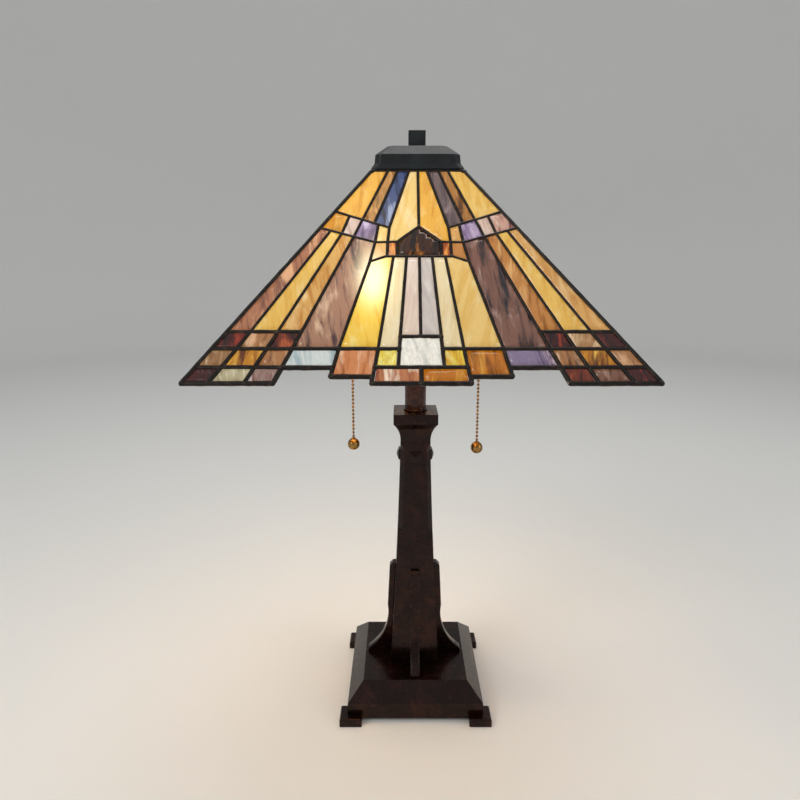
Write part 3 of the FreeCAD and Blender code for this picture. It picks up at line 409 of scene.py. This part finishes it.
def bulb_finish(name, colour, strength):
    """A frosted bulb: brightest round its middle, dimmer towards the neck."""
    finish = Finish(name)
    where = finish.surface()
    height = finish.node("SeparateXYZ", {}, {"Vector": where}, "Z")
    level = finish.ramp(height, 0.455, 0.500)
    frost = finish.cloud(where, 700, 2)
    shine = finish.blend(level, tuple(part * 0.35 for part in colour), colour)
    return finish.set(Base_Color=linear("#F1EEE6"), Roughness=0.25 + frost * 0.15, Emission_Color=shine,
                      Emission_Strength=strength, Normal=finish.bump(frost, 0.15, 0.00003))


def material(name, make, *arguments):
    """A finish that is mixed once and then shared."""
    if name not in mixed:
        mixed[name] = make(name, *arguments)
    return mixed[name]


def metal(kind):
    """One of the lamp's metal finishes."""
    colours = bpy.context.scene.lamp_metals
    recipes = {
        "dark_bronze": (colours.bronze, colours.bronze_worn, 0.75, 0.26, 45, 0.15),
        "black_patina": (colours.patina, colours.patina_worn, 0.35, 0.46, 55, 0.05),
        "mottled_stem": (colours.tube, colours.tube_worn, 0.55, 0.34, 110, 0.25),
        "antique_brass": (colours.brass, colours.brass_dark, 1.0, 0.20, 240, 0.0),
        "socket_brass": (colours.brass, colours.brass_dark, 1.0, 0.26, 70, 0.0),
        "zinc_plate": (colours.zinc, colours.zinc_dull, 0.9, 0.38, 90, 0.0),
        "black_moulding": (colours.moulding, colours.bronze, 0.0, 0.42, 120, 0.1),
    }
    return material(f"{kind}_finish", metal_finish, *recipes[kind])


def piece(name, mesh_builder, materials, body, nodes):
    """Turns a mesh under construction into a piece of the lamp that stands for CAD nodes."""
    mesh = bpy.data.meshes.new(name)
    mesh_builder.to_mesh(mesh)
    mesh_builder.free()
    thing = bpy.data.objects.new(name, mesh)
    for entry in materials:
        mesh.materials.append(entry)
    bpy.context.scene.collection.objects.link(thing)
    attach(thing, body)
    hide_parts(*nodes)
    return thing


def dress(node, finish, edge, steps=3):
    """Gives a CAD node its finish, and eases its edges without touching its mesh."""
    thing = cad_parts[node]
    thing.data.materials.clear()
    thing.data.materials.append(finish)
    weld = thing.modifiers.new("Weld", "WELD")
    weld.merge_threshold = WELD
    bevel = thing.modifiers.new("Eased edges", "BEVEL")
    bevel.width = edge
    bevel.segments = steps
    bevel.limit_method = "ANGLE"
    bevel.angle_limit = math.radians(28)
    bevel.harden_normals = True
    bevel.miter_outer = "MITER_ARC"


class Side:
    """One panel of the shade: its place, and its slope as a frame to draw on."""

    def __init__(self, name, turn):
        self.name = name
        self.node = f"lattice_{name}"
        glass_points = [v.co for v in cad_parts["glass_honey"].data.vertices]
        rotation = Matrix.Rotation(math.radians(turn), 3, "Z")
        self.outward = rotation @ front_normal()
        self.across = rotation @ Vector((1, 0, 0))
        self.upward = self.outward.cross(self.across)
        self.depth = max(point.dot(self.outward) for point in glass_points)
        lattice_points = [v.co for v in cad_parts[self.node].data.vertices]
        self.foot = min(point.dot(self.upward) for point in lattice_points)

    def lift(self, u, v, height=0.0):
        """The point at u across and v up the slope, at a height above the glass."""
        return self.across * u + self.upward * (self.foot + v) + self.outward * (self.depth + height)

    def drawn(self, point):
        """The (u, v) of a point."""
        return point.dot(self.across), point.dot(self.upward) - self.foot

    def hip(self, v):
        """The panel's half width at v."""
        middle = self.lift(0, v)
        return math.hypot(middle.x, middle.y)


def front_normal():
    """The outward normal of the front glass, read from its largest face."""
    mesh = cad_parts["glass_honey"].data
    faces = [face for face in mesh.polygons if face.normal.z > 0.3 and face.normal.y < -0.5]
    return max(faces, key=lambda face: face.area).normal.copy()


def sides():
    return [Side(name, turn) for name, turn in (("front", 0), ("right", 90), ("rear", 180), ("left", 270))]


def islands(node):
    """The separate panes of a CAD glass node, as lists of faces of one welded mesh."""
    bm = bmesh.new()
    bm.from_mesh(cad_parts[node].data)
    bmesh.ops.remove_doubles(bm, verts=bm.verts, dist=WELD)
    bm.faces.index_update()
    met = set()
    found = []
    for first in bm.faces:
        if first.index in met:
            continue
        met.add(first.index)
        queue = [first]
        group = []
        while queue:
            face = queue.pop()
            group.append(face)
            for edge in face.edges:
                for other in edge.link_faces:
                    if other.index not in met:
                        met.add(other.index)
                        queue.append(other)
        found.append(group)
    return bm, found


def outline(faces, side):
    """The outer edge of a pane's show face, as (u, v) in order."""
    shown = [face for face in faces if face.normal.dot(side.outward) > 0.99]
    inside = {face.index for face in shown}
    steps = {}
    for face in shown:
        for loop in face.loops:
            if sum(other.index in inside for other in loop.edge.link_faces) == 1:
                steps[loop.vert] = loop.link_loop_next.vert
    start = next(iter(steps))
    walk = [start]
    while steps[walk[-1]] != start:
        walk.append(steps[walk[-1]])
    return [Vector((*side.drawn(vert.co), 0)) for vert in walk]


def glass_nodes():
    return sorted(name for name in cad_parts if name.startswith("glass_"))


def on_panel(faces):
    """The panel that a pane belongs to, its corners there, and the middle of them."""
    middle = sum((face.calc_center_median() for face in faces), Vector()) / len(faces)
    side = min(sides_of_shade, key=lambda one: -middle.dot(one.outward))
    corners = outline(faces, side)
    return side, corners, sum(corners, Vector()) / len(corners)


def pane_places():
    """The middle of each pane of the front panel's right half, found from the CAD panes, with its sheets."""
    middles = []
    for node in glass_nodes():
        welded, groups = islands(node)
        for faces in groups:
            side, _, middle = on_panel(faces)
            if side is sides_of_shade[0] and middle.x > -MM:
                middles.append((middle.x, middle.y))
        welded.free()
    places = {}
    below = 0
    for top, row in ROWS:
        outwards = sorted(place for place in middles if below * MM <= place[1] < top * MM)
        if len(outwards) != len(row):
            raise ValueError(f"the row below {top} mm has {len(outwards)} panes, not {len(row)}")
        places.update(zip(outwards, row))
        below = top
    return places


def sheet_at(middle):
    """The sheet of glass that the pane there is cut from."""
    nearest = min(places_of_panes, key=lambda place: math.hypot(abs(middle.x) - place[0], middle.y - place[1]))
    _, left, right = places_of_panes[nearest]
    return left if middle.x < 0 else right


def ripple(u, v, depth, seed):
    """The height of a rolled sheet's surface: long waves, and short dimples on rippled glass."""
    point = Vector((u * 220, v * 120, seed))
    wave = noise.noise(point) + 0.5 * noise.noise(point * 2.3)
    return depth * MM * wave


def glow(side, u, v):
    """How brightly the lit bulb shows at a point of the glass."""
    sizes = bpy.context.scene.lamp_glow
    point = side.lift(u, v)
    gap = point - lit_bulb
    full_glow_at = 0.105
    near = (full_glow_at / gap.length) ** 2 * max(0.0, gap.normalized().dot(side.outward))
    across = (u - lit_bulb.dot(side.across)) / sizes.hot_radius
    above = (point.z - lit_bulb.z) / (1.5 * sizes.hot_radius)
    seen = 1.0 if side.outward.dot(lit_bulb) > -0.02 else 0.0
    return sizes.base + sizes.near * near + sizes.hot * seen * math.exp(-across ** 2 - above ** 2)


def add_pane(bm, corners, side, depth, seed, slot, layers):
    """Cuts a pane into a fine mesh, rolls its surface and gives it its thickness."""
    sizes = bpy.context.scene.lamp_shade
    pitch = sizes.ripple_pitch if depth > RIPPLED else sizes.pitch
    flat = bmesh.new()
    flat.faces.new([flat.verts.new(corner) for corner in corners])
    bmesh.ops.triangulate(flat, faces=flat.faces[:])
    for axis in (0, 1):
        low = min(corner[axis] for corner in corners)
        high = max(corner[axis] for corner in corners)
        normal = Vector((1 - axis, axis, 0))
        for step in range(1, int((high - low) / pitch) + 1):
            bmesh.ops.bisect_plane(flat, geom=flat.verts[:] + flat.edges[:] + flat.faces[:], dist=1e-7,
                                   plane_co=normal * (low + step * pitch), plane_no=normal)
    shift = Vector((seed * 0.173 % 0.9, seed * 0.311 % 0.7))
    lean = Matrix.Rotation(math.radians(seed * 7 % 30 - 15), 2)
    uv_layer, glow_layer = layers
    front = {}
    back = {}
    for vert in flat.verts:
        u, v = vert.co.x, vert.co.y
        light = glow(side, u, v)
        for store, height in ((front, ripple(u, v, depth, seed)), (back, -sizes.glass)):
            made = bm.verts.new(side.lift(u, v, height))
            made[glow_layer] = light
            store[vert] = (made, lean @ Vector((u, v)) + shift)
    for face in flat.faces:
        for store, order in ((front, face.verts[:]), (back, face.verts[:][::-1])):
            add_face(bm, [store[vert] for vert in order], slot, uv_layer)
    for edge in flat.edges:
        if len(edge.link_faces) == 1:
            loop = edge.link_loops[0]
            first, second = loop.vert, loop.link_loop_next.vert
            add_face(bm, [front[second], front[first], back[first], back[second]], slot, uv_layer)
    flat.free()


def add_face(bm, corners, slot, uv_layer):
    """One face from (vertex, grain) corners."""
    face = bm.faces.new([corner[0] for corner in corners])
    face.material_index = slot
    face.smooth = True
    for loop, (_, grain) in zip(face.loops, corners):
        loop[uv_layer].uv = grain


def build_glass(node):
    """All the panes of one CAD glass node, each from its own sheet."""
    draws = random.Random(node)
    bm = bmesh.new()
    layers = bm.loops.layers.uv.new("Sheet"), bm.verts.layers.float.new("Glow")
    welded, groups = islands(node)
    used = []
    for faces in groups:
        side, corners, middle = on_panel(faces)
        sheet = sheet_at(middle)
        if sheet not in used:
            used.append(sheet)
        add_pane(bm, corners, side, SHEETS[sheet][4], draws.uniform(0, 90), used.index(sheet), layers)
    welded.free()
    finishes = [material(f"{sheet}_sheet", sheet_glass, SHEETS[sheet]) for sheet in used]
    return piece(node.replace("glass", "panes"), bm, finishes, "shade", [node])


def bridge(bm, rings):
    """Joins each ring of vertices to the next with smooth faces; a ring of one vertex closes an end."""
    for first, second in zip(rings, rings[1:]):
        around = max(len(first), len(second))
        for step in range(around):
            after = (step + 1) % around
            corners = (first[step % len(first)], first[after % len(first)],
                       second[after % len(second)], second[step % len(second)])
            bm.faces.new(dict.fromkeys(corners)).smooth = True


def add_bead(bm, points, outward, width, height, pitch=2.5 * MM, seed=0.0, lift=0.0):
    """A run of solder along points: an oval section that swells and wanders a little."""
    wobble = bpy.context.scene.lamp_shade.wobble
    stations = []
    for first, second in zip(points, points[1:]):
        count = max(1, round((second - first).length / pitch))
        stations += [first.lerp(second, step / count) for step in range(count)]
    stations.append(points[-1])
    rings = []
    around = 12
    for place, station in enumerate(stations):
        ahead = stations[min(place + 1, len(stations) - 1)] - stations[max(place - 1, 0)]
        sideways = outward.cross(ahead).normalized()
        where = station * 90 + Vector((seed, seed, 0))
        swell = 1 + wobble * noise.noise(where) + 0.5 * wobble * noise.noise(station * 420)
        drift = sideways * (0.05 * width * noise.noise(where * 1.7 + Vector((9, 0, 0))))
        ring = []
        for step in range(around):
            angle = 2 * math.pi * step / around
            flat = abs(math.cos(angle)) ** 0.8 * math.copysign(1, math.cos(angle))
            tall = abs(math.sin(angle)) ** 0.8 * math.copysign(1, math.sin(angle))
            offset = sideways * flat * width / 2 * swell + outward * (tall * height / 2 * swell + lift)
            ring.append(bm.verts.new(station + offset + drift))
        rings.append(ring)
    bridge(bm, rings)
    for ring, flip in ((rings[0], False), (rings[-1], True)):
        face = bm.faces.new(ring[::-1] if flip else ring)
        face.smooth = True


def add_blob(bm, centre, side, radius, height):
    """A drop of solder where seams meet."""
    around, rows = 12, 8
    rings = []
    for row in range(rows + 1):
        rise = math.pi * (row / rows - 0.5)
        spread = radius * math.cos(rise) if 0 < row < rows else 0
        middle = centre + side.outward * height * math.sin(rise)
        turns = [2 * math.pi * step / around for step in range(around)] if spread else [0]
        spokes = [side.across * math.cos(turn) + side.upward * math.sin(turn) for turn in turns]
        rings.append([bm.verts.new(middle + spoke * spread) for spoke in spokes])
    bridge(bm, rings)


def seam_points(seam, side, way, depth):
    """A seam's joints as points, on the right (way 1) or mirrored to the left (way -1)."""
    points = []
    for u, v in seam:
        across = side.hip(v * MM) - 1.0 * MM if u is HIP else u * MM
        points.append(side.lift(way * across, v * MM, depth))
    return points


def build_solder(side):
    """The whole lattice of one panel: seams, drops at their joints, the foot's edge and half the hips."""
    sizes = bpy.context.scene.lamp_shade
    bm = bmesh.new()
    depth = -sizes.glass / 2
    height = sizes.glass + 2 * sizes.proud
    run_out = 1.12
    joints = set()
    for number, seam in enumerate(SEAMS):
        centre_only = all(u == 0 for u, _ in seam)
        for way in (1,) if centre_only else (1, -1):
            in_grid = max(v for _, v in seam) <= GRID_TOP
            width = (sizes.grid_seam_width if in_grid else sizes.seam_width) * run_out
            add_bead(bm, seam_points(seam, side, way, depth), side.outward, width, height, seed=number * 3.1)
            for u, v in seam:
                if u is not HIP and 3 < v < 240:
                    joints.add((way * u, v))
    for u, v in sorted(joints):
        broad = sizes.grid_seam_width if v <= GRID_TOP else sizes.seam_width
        add_blob(bm, side.lift(u * MM, v * MM, depth), side, broad * 0.66, height * 0.54)
    edge = sizes.edge_width
    for way in (1, -1):
        points = seam_points(FOOT_EDGE, side, way, depth)
        for first, second in zip(points, points[1:]):
            add_bead(bm, [first, second], side.outward, edge, height, seed=way * 5)
        for point in points[1:]:
            add_blob(bm, point, side, edge * 0.52, height * 0.52)
    add_hip(bm, side)
    rim = 242.6 * MM
    ends = [side.lift(way * (side.hip(rim) - 1.5 * MM), rim, depth) for way in (-1, 1)]
    add_bead(bm, ends, side.outward, edge, height, seed=61)
    solder = material("blackened_solder", solder_finish, bpy.context.scene.lamp_metals)
    return piece(f"solder_{side.name}", bm, [solder], "shade", [side.node])


def add_hip(bm, side):
    """The heavier bead down the corner at the right of a panel."""
    sizes = bpy.context.scene.lamp_shade
    first, last = 2.4 * MM, 242.0 * MM
    inside = 0.9 * MM
    points = []
    for v in (first, last):
        half = side.hip(v) - inside
        points.append(side.lift(half, v, -inside))
    corner = (side.outward + Matrix.Rotation(math.radians(90), 3, "Z") @ side.outward).normalized()
    add_bead(bm, points, corner, sizes.hip_width, sizes.hip_width * 0.8, seed=40)
    add_blob(bm, points[1] + corner * -1.2 * MM, side, sizes.hip_width * 0.85, sizes.hip_width * 0.6)
    add_blob(bm, points[0] + corner * -0.4 * MM, side, sizes.hip_width * 0.56, sizes.hip_width * 0.5)


def turned_mesh(bm, section, centre, around=64):
    """Turns a section of (radius, height) about a vertical axis; radius 0 closes an end."""
    rings = []
    for radius, height in section:
        turns = [2 * math.pi * step / around for step in range(around)] if radius else [0]
        spokes = [Vector((radius * math.cos(turn), radius * math.sin(turn), height)) for turn in turns]
        rings.append([bm.verts.new(centre + spoke) for spoke in spokes])
    bridge(bm, rings)


def node_middle(node):
    low, high = (Vector(corner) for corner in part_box(node))
    return (low + high) / 2, low, high


def bulb_centre(node):
    """The middle of a bulb's belly."""
    middle, low, high = node_middle(node)
    return Vector((middle.x, middle.y, high.z - (high.x - low.x) / 2))


def build_bulb(side_name, lit):
    """A frosted pear bulb and its threaded base."""
    node = f"bulb_{side_name}"
    middle, low, high = node_middle(node)
    centre = Vector((middle.x, middle.y, 0))
    belly = (high.x - low.x) / 2
    equator = high.z - belly
    neck_top = low.z + 31.5 * MM
    base = 13 * MM
    dome_steps, neck_steps, thread_steps, threads = 12, 14, 48, 6
    glass = []
    for step in range(dome_steps + 1):
        turn = math.pi / 2 * step / dome_steps
        glass.append((belly * math.sin(turn), equator + (belly - 0.1 * MM) * math.cos(turn)))
    glass[0] = (0, glass[0][1])
    for step in range(1, neck_steps + 1):
        share = step / neck_steps
        ease = share * share * (3 - 2 * share)
        glass.append((belly + (base * 0.985 - belly) * ease, equator + (neck_top - equator) * share))
    glass += [(base * 0.96, neck_top - 3 * MM), (0, neck_top - 3 * MM)]
    bm = bmesh.new()
    turned_mesh(bm, [(radius, height) for radius, height in reversed(glass)], centre)
    # The unlit right bulb still gets a faint emission: a painted glow on a bulb that is switched off.
    colour = linear("#FFE3B0") if lit else linear("#FFF3E0")
    finish = bulb_finish(f"frosted_{side_name}", colour, 14.0 if lit else 0.25)
    envelope = piece(f"bulb_glass_{side_name}", bm, [finish], node, [node])
    envelope.visible_shadow = not lit

    bm = bmesh.new()
    section = [(0, low.z), (3.2 * MM, low.z + 0.1 * MM), (3.5 * MM, low.z + 1 * MM), (9 * MM, low.z + 3 * MM)]
    thread_foot = low.z + 4.5 * MM
    for step in range(thread_steps + 1):
        turn = step / thread_steps * threads * 2 * math.pi
        level = thread_foot + 20 * MM * step / thread_steps
        section.append((base * 0.965 + 0.4 * MM * math.sin(turn), level))
    section += [(base * 0.99, neck_top - 4 * MM), (base * 0.99, neck_top - 0.5 * MM), (base * 0.9, neck_top)]
    section.append((0, neck_top))
    turned_mesh(bm, section, centre, 48)
    piece(f"bulb_base_{side_name}", bm, [metal("zinc_plate")], node, [node])


def build_chain(node, body):
    """Round beads strung on one thin wire."""
    middle, low, high = node_middle(node)
    bead = (high.x - low.x) / 2
    pitch = 4.35 * MM
    axis = Vector((middle.x, middle.y, 0))
    top_bead = high.z - bead if node.startswith("chain_top") else bead_level(node, pitch)
    count = 2 if node.startswith("chain_top") else int((top_bead - low.z) / pitch) + 1
    steps = 12
    bm = bmesh.new()
    for place in range(count):
        level = top_bead - place * pitch
        if level - bead < low.z:
            break
        section = []
        for step in range(steps + 1):
            turn = math.pi * step / steps
            radius = bead * math.sin(turn) if 0 < step < steps else 0
            section.append((radius, level - bead * math.cos(turn)))
        turned_mesh(bm, section, axis, 20)
    wire = 0.45 * MM
    wire_top = high.z - 0.02 * MM
    turned_mesh(bm, [(0, low.z), (wire, low.z), (wire, wire_top), (0, wire_top)], axis, 10)
    piece(node.replace("chain", "beads"), bm, [metal("antique_brass")], body, [node])


def bead_level(node, pitch):
    """The middle of the first hanging bead: two links below the top of the chain inside the guide."""
    top = node.replace("drop", "top")
    _, low, high = node_middle(top)
    bead = (high.x - low.x) / 2
    return high.z - bead - 2 * pitch


def build_ball(node, body):
    """The brass ball: a turned ball with a waist groove and a small neck."""
    middle, low, high = node_middle(node)
    radius = (high.x - low.x) / 2
    centre = Vector((middle.x, middle.y, low.z + radius))
    steps = 32
    section = []
    for step in range(steps + 1):
        turn = math.pi * step / steps
        groove = 0.25 * MM * math.exp(-((step - steps / 2) / 1.1) ** 2)
        across = (radius - groove) * math.sin(turn) if 0 < step < steps else 0
        section.append((across, -radius * math.cos(turn)))
    bm = bmesh.new()
    turned_mesh(bm, section, centre, 40)
    top = high.z - centre.z
    shoulder = radius + 0.3 * MM
    neck = [(0, radius * 0.90), (3.0 * MM, radius * 0.90), (2.5 * MM, radius * 0.97), (2.5 * MM, shoulder),
            (1.6 * MM, top), (0, top)]
    turned_mesh(bm, neck, centre, 24)
    ball = node.replace("chain_ball", "pull_ball")
    piece(ball, bm, [metal("antique_brass")], body, [node])


class LampOperator:
    """What every operator of this add-on shares."""
    bl_options = {"REGISTER", "UNDO"}


class LAMP_OT_castings(LampOperator, Operator):
    """Dress the base, feet, column, fins, pegs, collar and stem"""
    bl_idname = "lamp.castings"
    bl_label = "Castings"

    def execute(self, context):
        bronze = metal("dark_bronze")
        edges = {"base_casting": 1.4, "column": 0.8, "column_pegs": 0.5, "stem_collar": 0.3}
        for place in ("front_left", "front_right", "rear_left", "rear_right"):
            edges[f"foot_{place}"] = 0.8
        for place in ("front", "rear", "left", "right"):
            edges[f"buttress_{place}"] = 0.9
        for node, edge in edges.items():
            dress(node, bronze, edge * MM)
        dress("stem_tube", metal("mottled_stem"), 0.3 * MM)
        dress("base_cover_plate", metal("black_patina"), 0.2 * MM, 2)
        return {"FINISHED"}


class LAMP_OT_fittings(LampOperator, Operator):
    """Dress the sockets, arms, pipe, rods, nuts, screws, switches and bushing"""
    bl_idname = "lamp.fittings"
    bl_label = "Fittings"

    def execute(self, context):
        zinc = metal("zinc_plate")
        for node in ("foot_screws", "pipe_nut", "pipe_washer", "lamp_pipe", "riser_rod", "shade_rest"):
            dress(node, zinc, 0.25 * MM, 2)
        brass = metal("socket_brass")
        dress("cluster_body", brass, 1.2 * MM)
        dress("cord_bushing", metal("black_moulding"), 0.4 * MM)
        for side in ("left", "right"):
            dress(f"socket_arm_{side}", zinc, 0.2 * MM, 2)
            dress(f"socket_cap_{side}", brass, 0.3 * MM, 2)
            dress(f"socket_shell_{side}", brass, 0.25 * MM, 2)
            dress(f"screw_shell_{side}", brass, 0.15 * MM, 2)
            dress(f"switch_block_{side}", metal("black_moulding"), 0.5 * MM)
            dress(f"chain_guide_{side}", metal("antique_brass"), 0.2 * MM, 2)
        return {"FINISHED"}


class LAMP_OT_glass(LampOperator, Operator):
    """Cut every pane of the shade from its sheet of glass"""
    bl_idname = "lamp.glass"
    bl_label = "Glass panes"

    def execute(self, context):
        for node in glass_nodes():
            build_glass(node)
        return {"FINISHED"}


class LAMP_OT_solder(LampOperator, Operator):
    """Run the solder seams, the foot's edge and the hips of all four panels"""
    bl_idname = "lamp.solder"
    bl_label = "Solder"

    def execute(self, context):
        for side in sides_of_shade:
            build_solder(side)
        return {"FINISHED"}


class LAMP_OT_cap(LampOperator, Operator):
    """Dress the shade's cap and the finial"""
    bl_idname = "lamp.cap"
    bl_label = "Cap and finial"

    def execute(self, context):
        dress("shade_cap", metal("black_patina"), 0.9 * MM)
        dress("finial", metal("black_patina"), 0.8 * MM)
        return {"FINISHED"}


class LAMP_OT_bulbs(LampOperator, Operator):
    """Make both bulbs; the left one is lit"""
    bl_idname = "lamp.bulbs"
    bl_label = "Bulbs"

    def execute(self, context):
        build_bulb("left", True)
        build_bulb("right", False)
        return {"FINISHED"}


class LAMP_OT_pulls(LampOperator, Operator):
    """String the bead pull chains and turn their brass balls"""
    bl_idname = "lamp.pulls"
    bl_label = "Pull chains"

    def execute(self, context):
        for side in ("left", "right"):
            build_chain(f"chain_top_{side}", f"pull_{side}")
            build_chain(f"chain_drop_{side}", f"hang_{side}")
            build_ball(f"chain_ball_{side}", f"hang_{side}")
        return {"FINISHED"}


class LAMP_OT_stage(LampOperator, Operator):
    """Lay the pale floor and backdrop, and set the lights and the camera"""
    bl_idname = "lamp.stage"
    bl_label = "Stage"

    def execute(self, context):
        scene = context.scene
        scene.view_settings.view_transform = "Standard"
        build_stage()
        world = bpy.data.worlds.new("studio")
        world.use_nodes = True
        background = world.node_tree.nodes["Background"]
        background.inputs["Color"].default_value = (0.86, 0.90, 0.95, 1)
        background.inputs["Strength"].default_value = 0.6
        scene.world = world
        add_area("window", place=(-1.6, -1.5, 1.7), target=(0, 0, 0.4), size=1.1, power=20,
                 colour=(1.0, 0.98, 0.95))
        add_area("fill", place=(1.8, -1.2, 1.1), target=(0, 0, 0.35), size=1.4, power=9,
                 colour=(0.95, 0.97, 1.0))
        add_area("overhead", place=(0.2, 1.0, 2.3), target=(0, 0, 0), size=1.2, power=13,
                 colour=(1.0, 0.97, 0.92))
        add_lamp_light(lit_bulb)
        add_camera(scene)
        return {"FINISHED"}


def build_stage():
    """A pale round floor that curves up into a wall on every side."""
    floor, bend, wall = 3.2, 0.8, 4.0
    steps = 12
    section = [(0, 0), (floor, 0)]
    for step in range(1, steps + 1):
        turn = math.pi / 2 * step / steps
        section.append((floor + bend * math.sin(turn), bend - bend * math.cos(turn)))
    section.append((floor + bend, wall))
    bm = bmesh.new()
    turned_mesh(bm, section, Vector(), 96)
    mesh = bpy.data.meshes.new("backdrop")
    bm.to_mesh(mesh)
    bm.free()
    backdrop = bpy.data.objects.new("backdrop", mesh)
    mesh.materials.append(Finish("pale_backdrop").set(Base_Color=linear("#E2E1DE"), Roughness=0.6))
    bpy.context.scene.collection.objects.link(backdrop)


def add_area(name, place, target, size, power, colour):
    light = bpy.data.lights.new(name, "AREA")
    light.shape = "SQUARE"
    light.size = size
    light.energy = power
    light.color = colour
    thing = bpy.data.objects.new(name, light)
    thing.location = place
    thing.rotation_euler = (Vector(target) - Vector(place)).to_track_quat("-Z", "Y").to_euler()
    bpy.context.scene.collection.objects.link(thing)


def add_lamp_light(place):
    light = bpy.data.lights.new("lit bulb", "POINT")
    light.energy = 3.2
    light.color = (1.0, 0.80, 0.56)
    light.shadow_soft_size = 0.03
    thing = bpy.data.objects.new("lit bulb", light)
    thing.location = place
    bpy.context.scene.collection.objects.link(thing)


def add_camera(scene):
    lens = scene.lamp_camera
    camera = bpy.data.cameras.new("camera")
    camera.sensor_width = 36
    camera.lens = lens.lens
    thing = bpy.data.objects.new("camera", camera)
    thing.location = (lens.sideways, -lens.distance, lens.height)
    thing.rotation_euler = (math.pi / 2 - lens.pitch, 0, 0)
    scene.collection.objects.link(thing)
    scene.camera = thing


class CameraSizes(PropertyGroup):
    """Where the camera stands."""
    lens: FloatProperty(name="Lens", description="Focal length in millimetres", default=27.9)
    distance: FloatProperty(name="Distance", description="From the lamp's axis", default=0.6985,
                            unit="LENGTH")
    sideways: FloatProperty(name="Sideways", description="To the right of the axis", default=-0.0178,
                            unit="LENGTH")
    height: FloatProperty(name="Height", description="Above the floor", default=0.5166, unit="LENGTH")
    pitch: FloatProperty(name="Pitch", description="Downwards", default=math.radians(12.36),
                         subtype="ANGLE")


class LAMP_PT_panel(Panel):
    """Lists the lamp's sizes, colours and pieces"""
    bl_idname = "LAMP_PT_panel"
    bl_label = "Stained Glass Lamp"
    bl_space_type = "VIEW_3D"
    bl_region_type = "UI"
    bl_category = "Lamp"

    def draw(self, context):
        for group in ("lamp_shade", "lamp_glow", "lamp_metals", "lamp_camera"):
            box = self.layout.box()
            settings = getattr(context.scene, group)
            for name in settings.bl_rna.properties.keys():
                if name not in ("rna_type", "name"):
                    box.prop(settings, name)
        for operator in OPERATORS:
            self.layout.operator(operator.bl_idname)


GROUPS = {"lamp_shade": ShadeSizes, "lamp_glow": GlowSizes, "lamp_metals": MetalColours,
          "lamp_camera": CameraSizes}
OPERATORS = (LAMP_OT_castings, LAMP_OT_fittings, LAMP_OT_glass, LAMP_OT_solder, LAMP_OT_cap,
             LAMP_OT_bulbs, LAMP_OT_pulls, LAMP_OT_stage)
sides_of_shade = sides()
places_of_panes = pane_places()
lit_bulb = bulb_centre("bulb_left")


def register():
    for group in GROUPS.values():
        bpy.utils.register_class(group)
    for name, group in GROUPS.items():
        setattr(bpy.types.Scene, name, PointerProperty(type=group))
    for operator in OPERATORS:
        bpy.utils.register_class(operator)
    bpy.utils.register_class(LAMP_PT_panel)


def unregister():
    bpy.utils.unregister_class(LAMP_PT_panel)
    for operator in reversed(OPERATORS):
        bpy.utils.unregister_class(operator)
    for name in GROUPS:
        delattr(bpy.types.Scene, name)
    for group in reversed(GROUPS.values()):
        bpy.utils.unregister_class(group)


def main():
    register()
    bpy.ops.lamp.castings()
    bpy.ops.lamp.fittings()
    bpy.ops.lamp.glass()
    bpy.ops.lamp.solder()
    bpy.ops.lamp.cap()
    bpy.ops.lamp.bulbs()
    bpy.ops.lamp.pulls()
    bpy.ops.lamp.stage()
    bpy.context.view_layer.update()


if __name__ == "__main__":
    main()
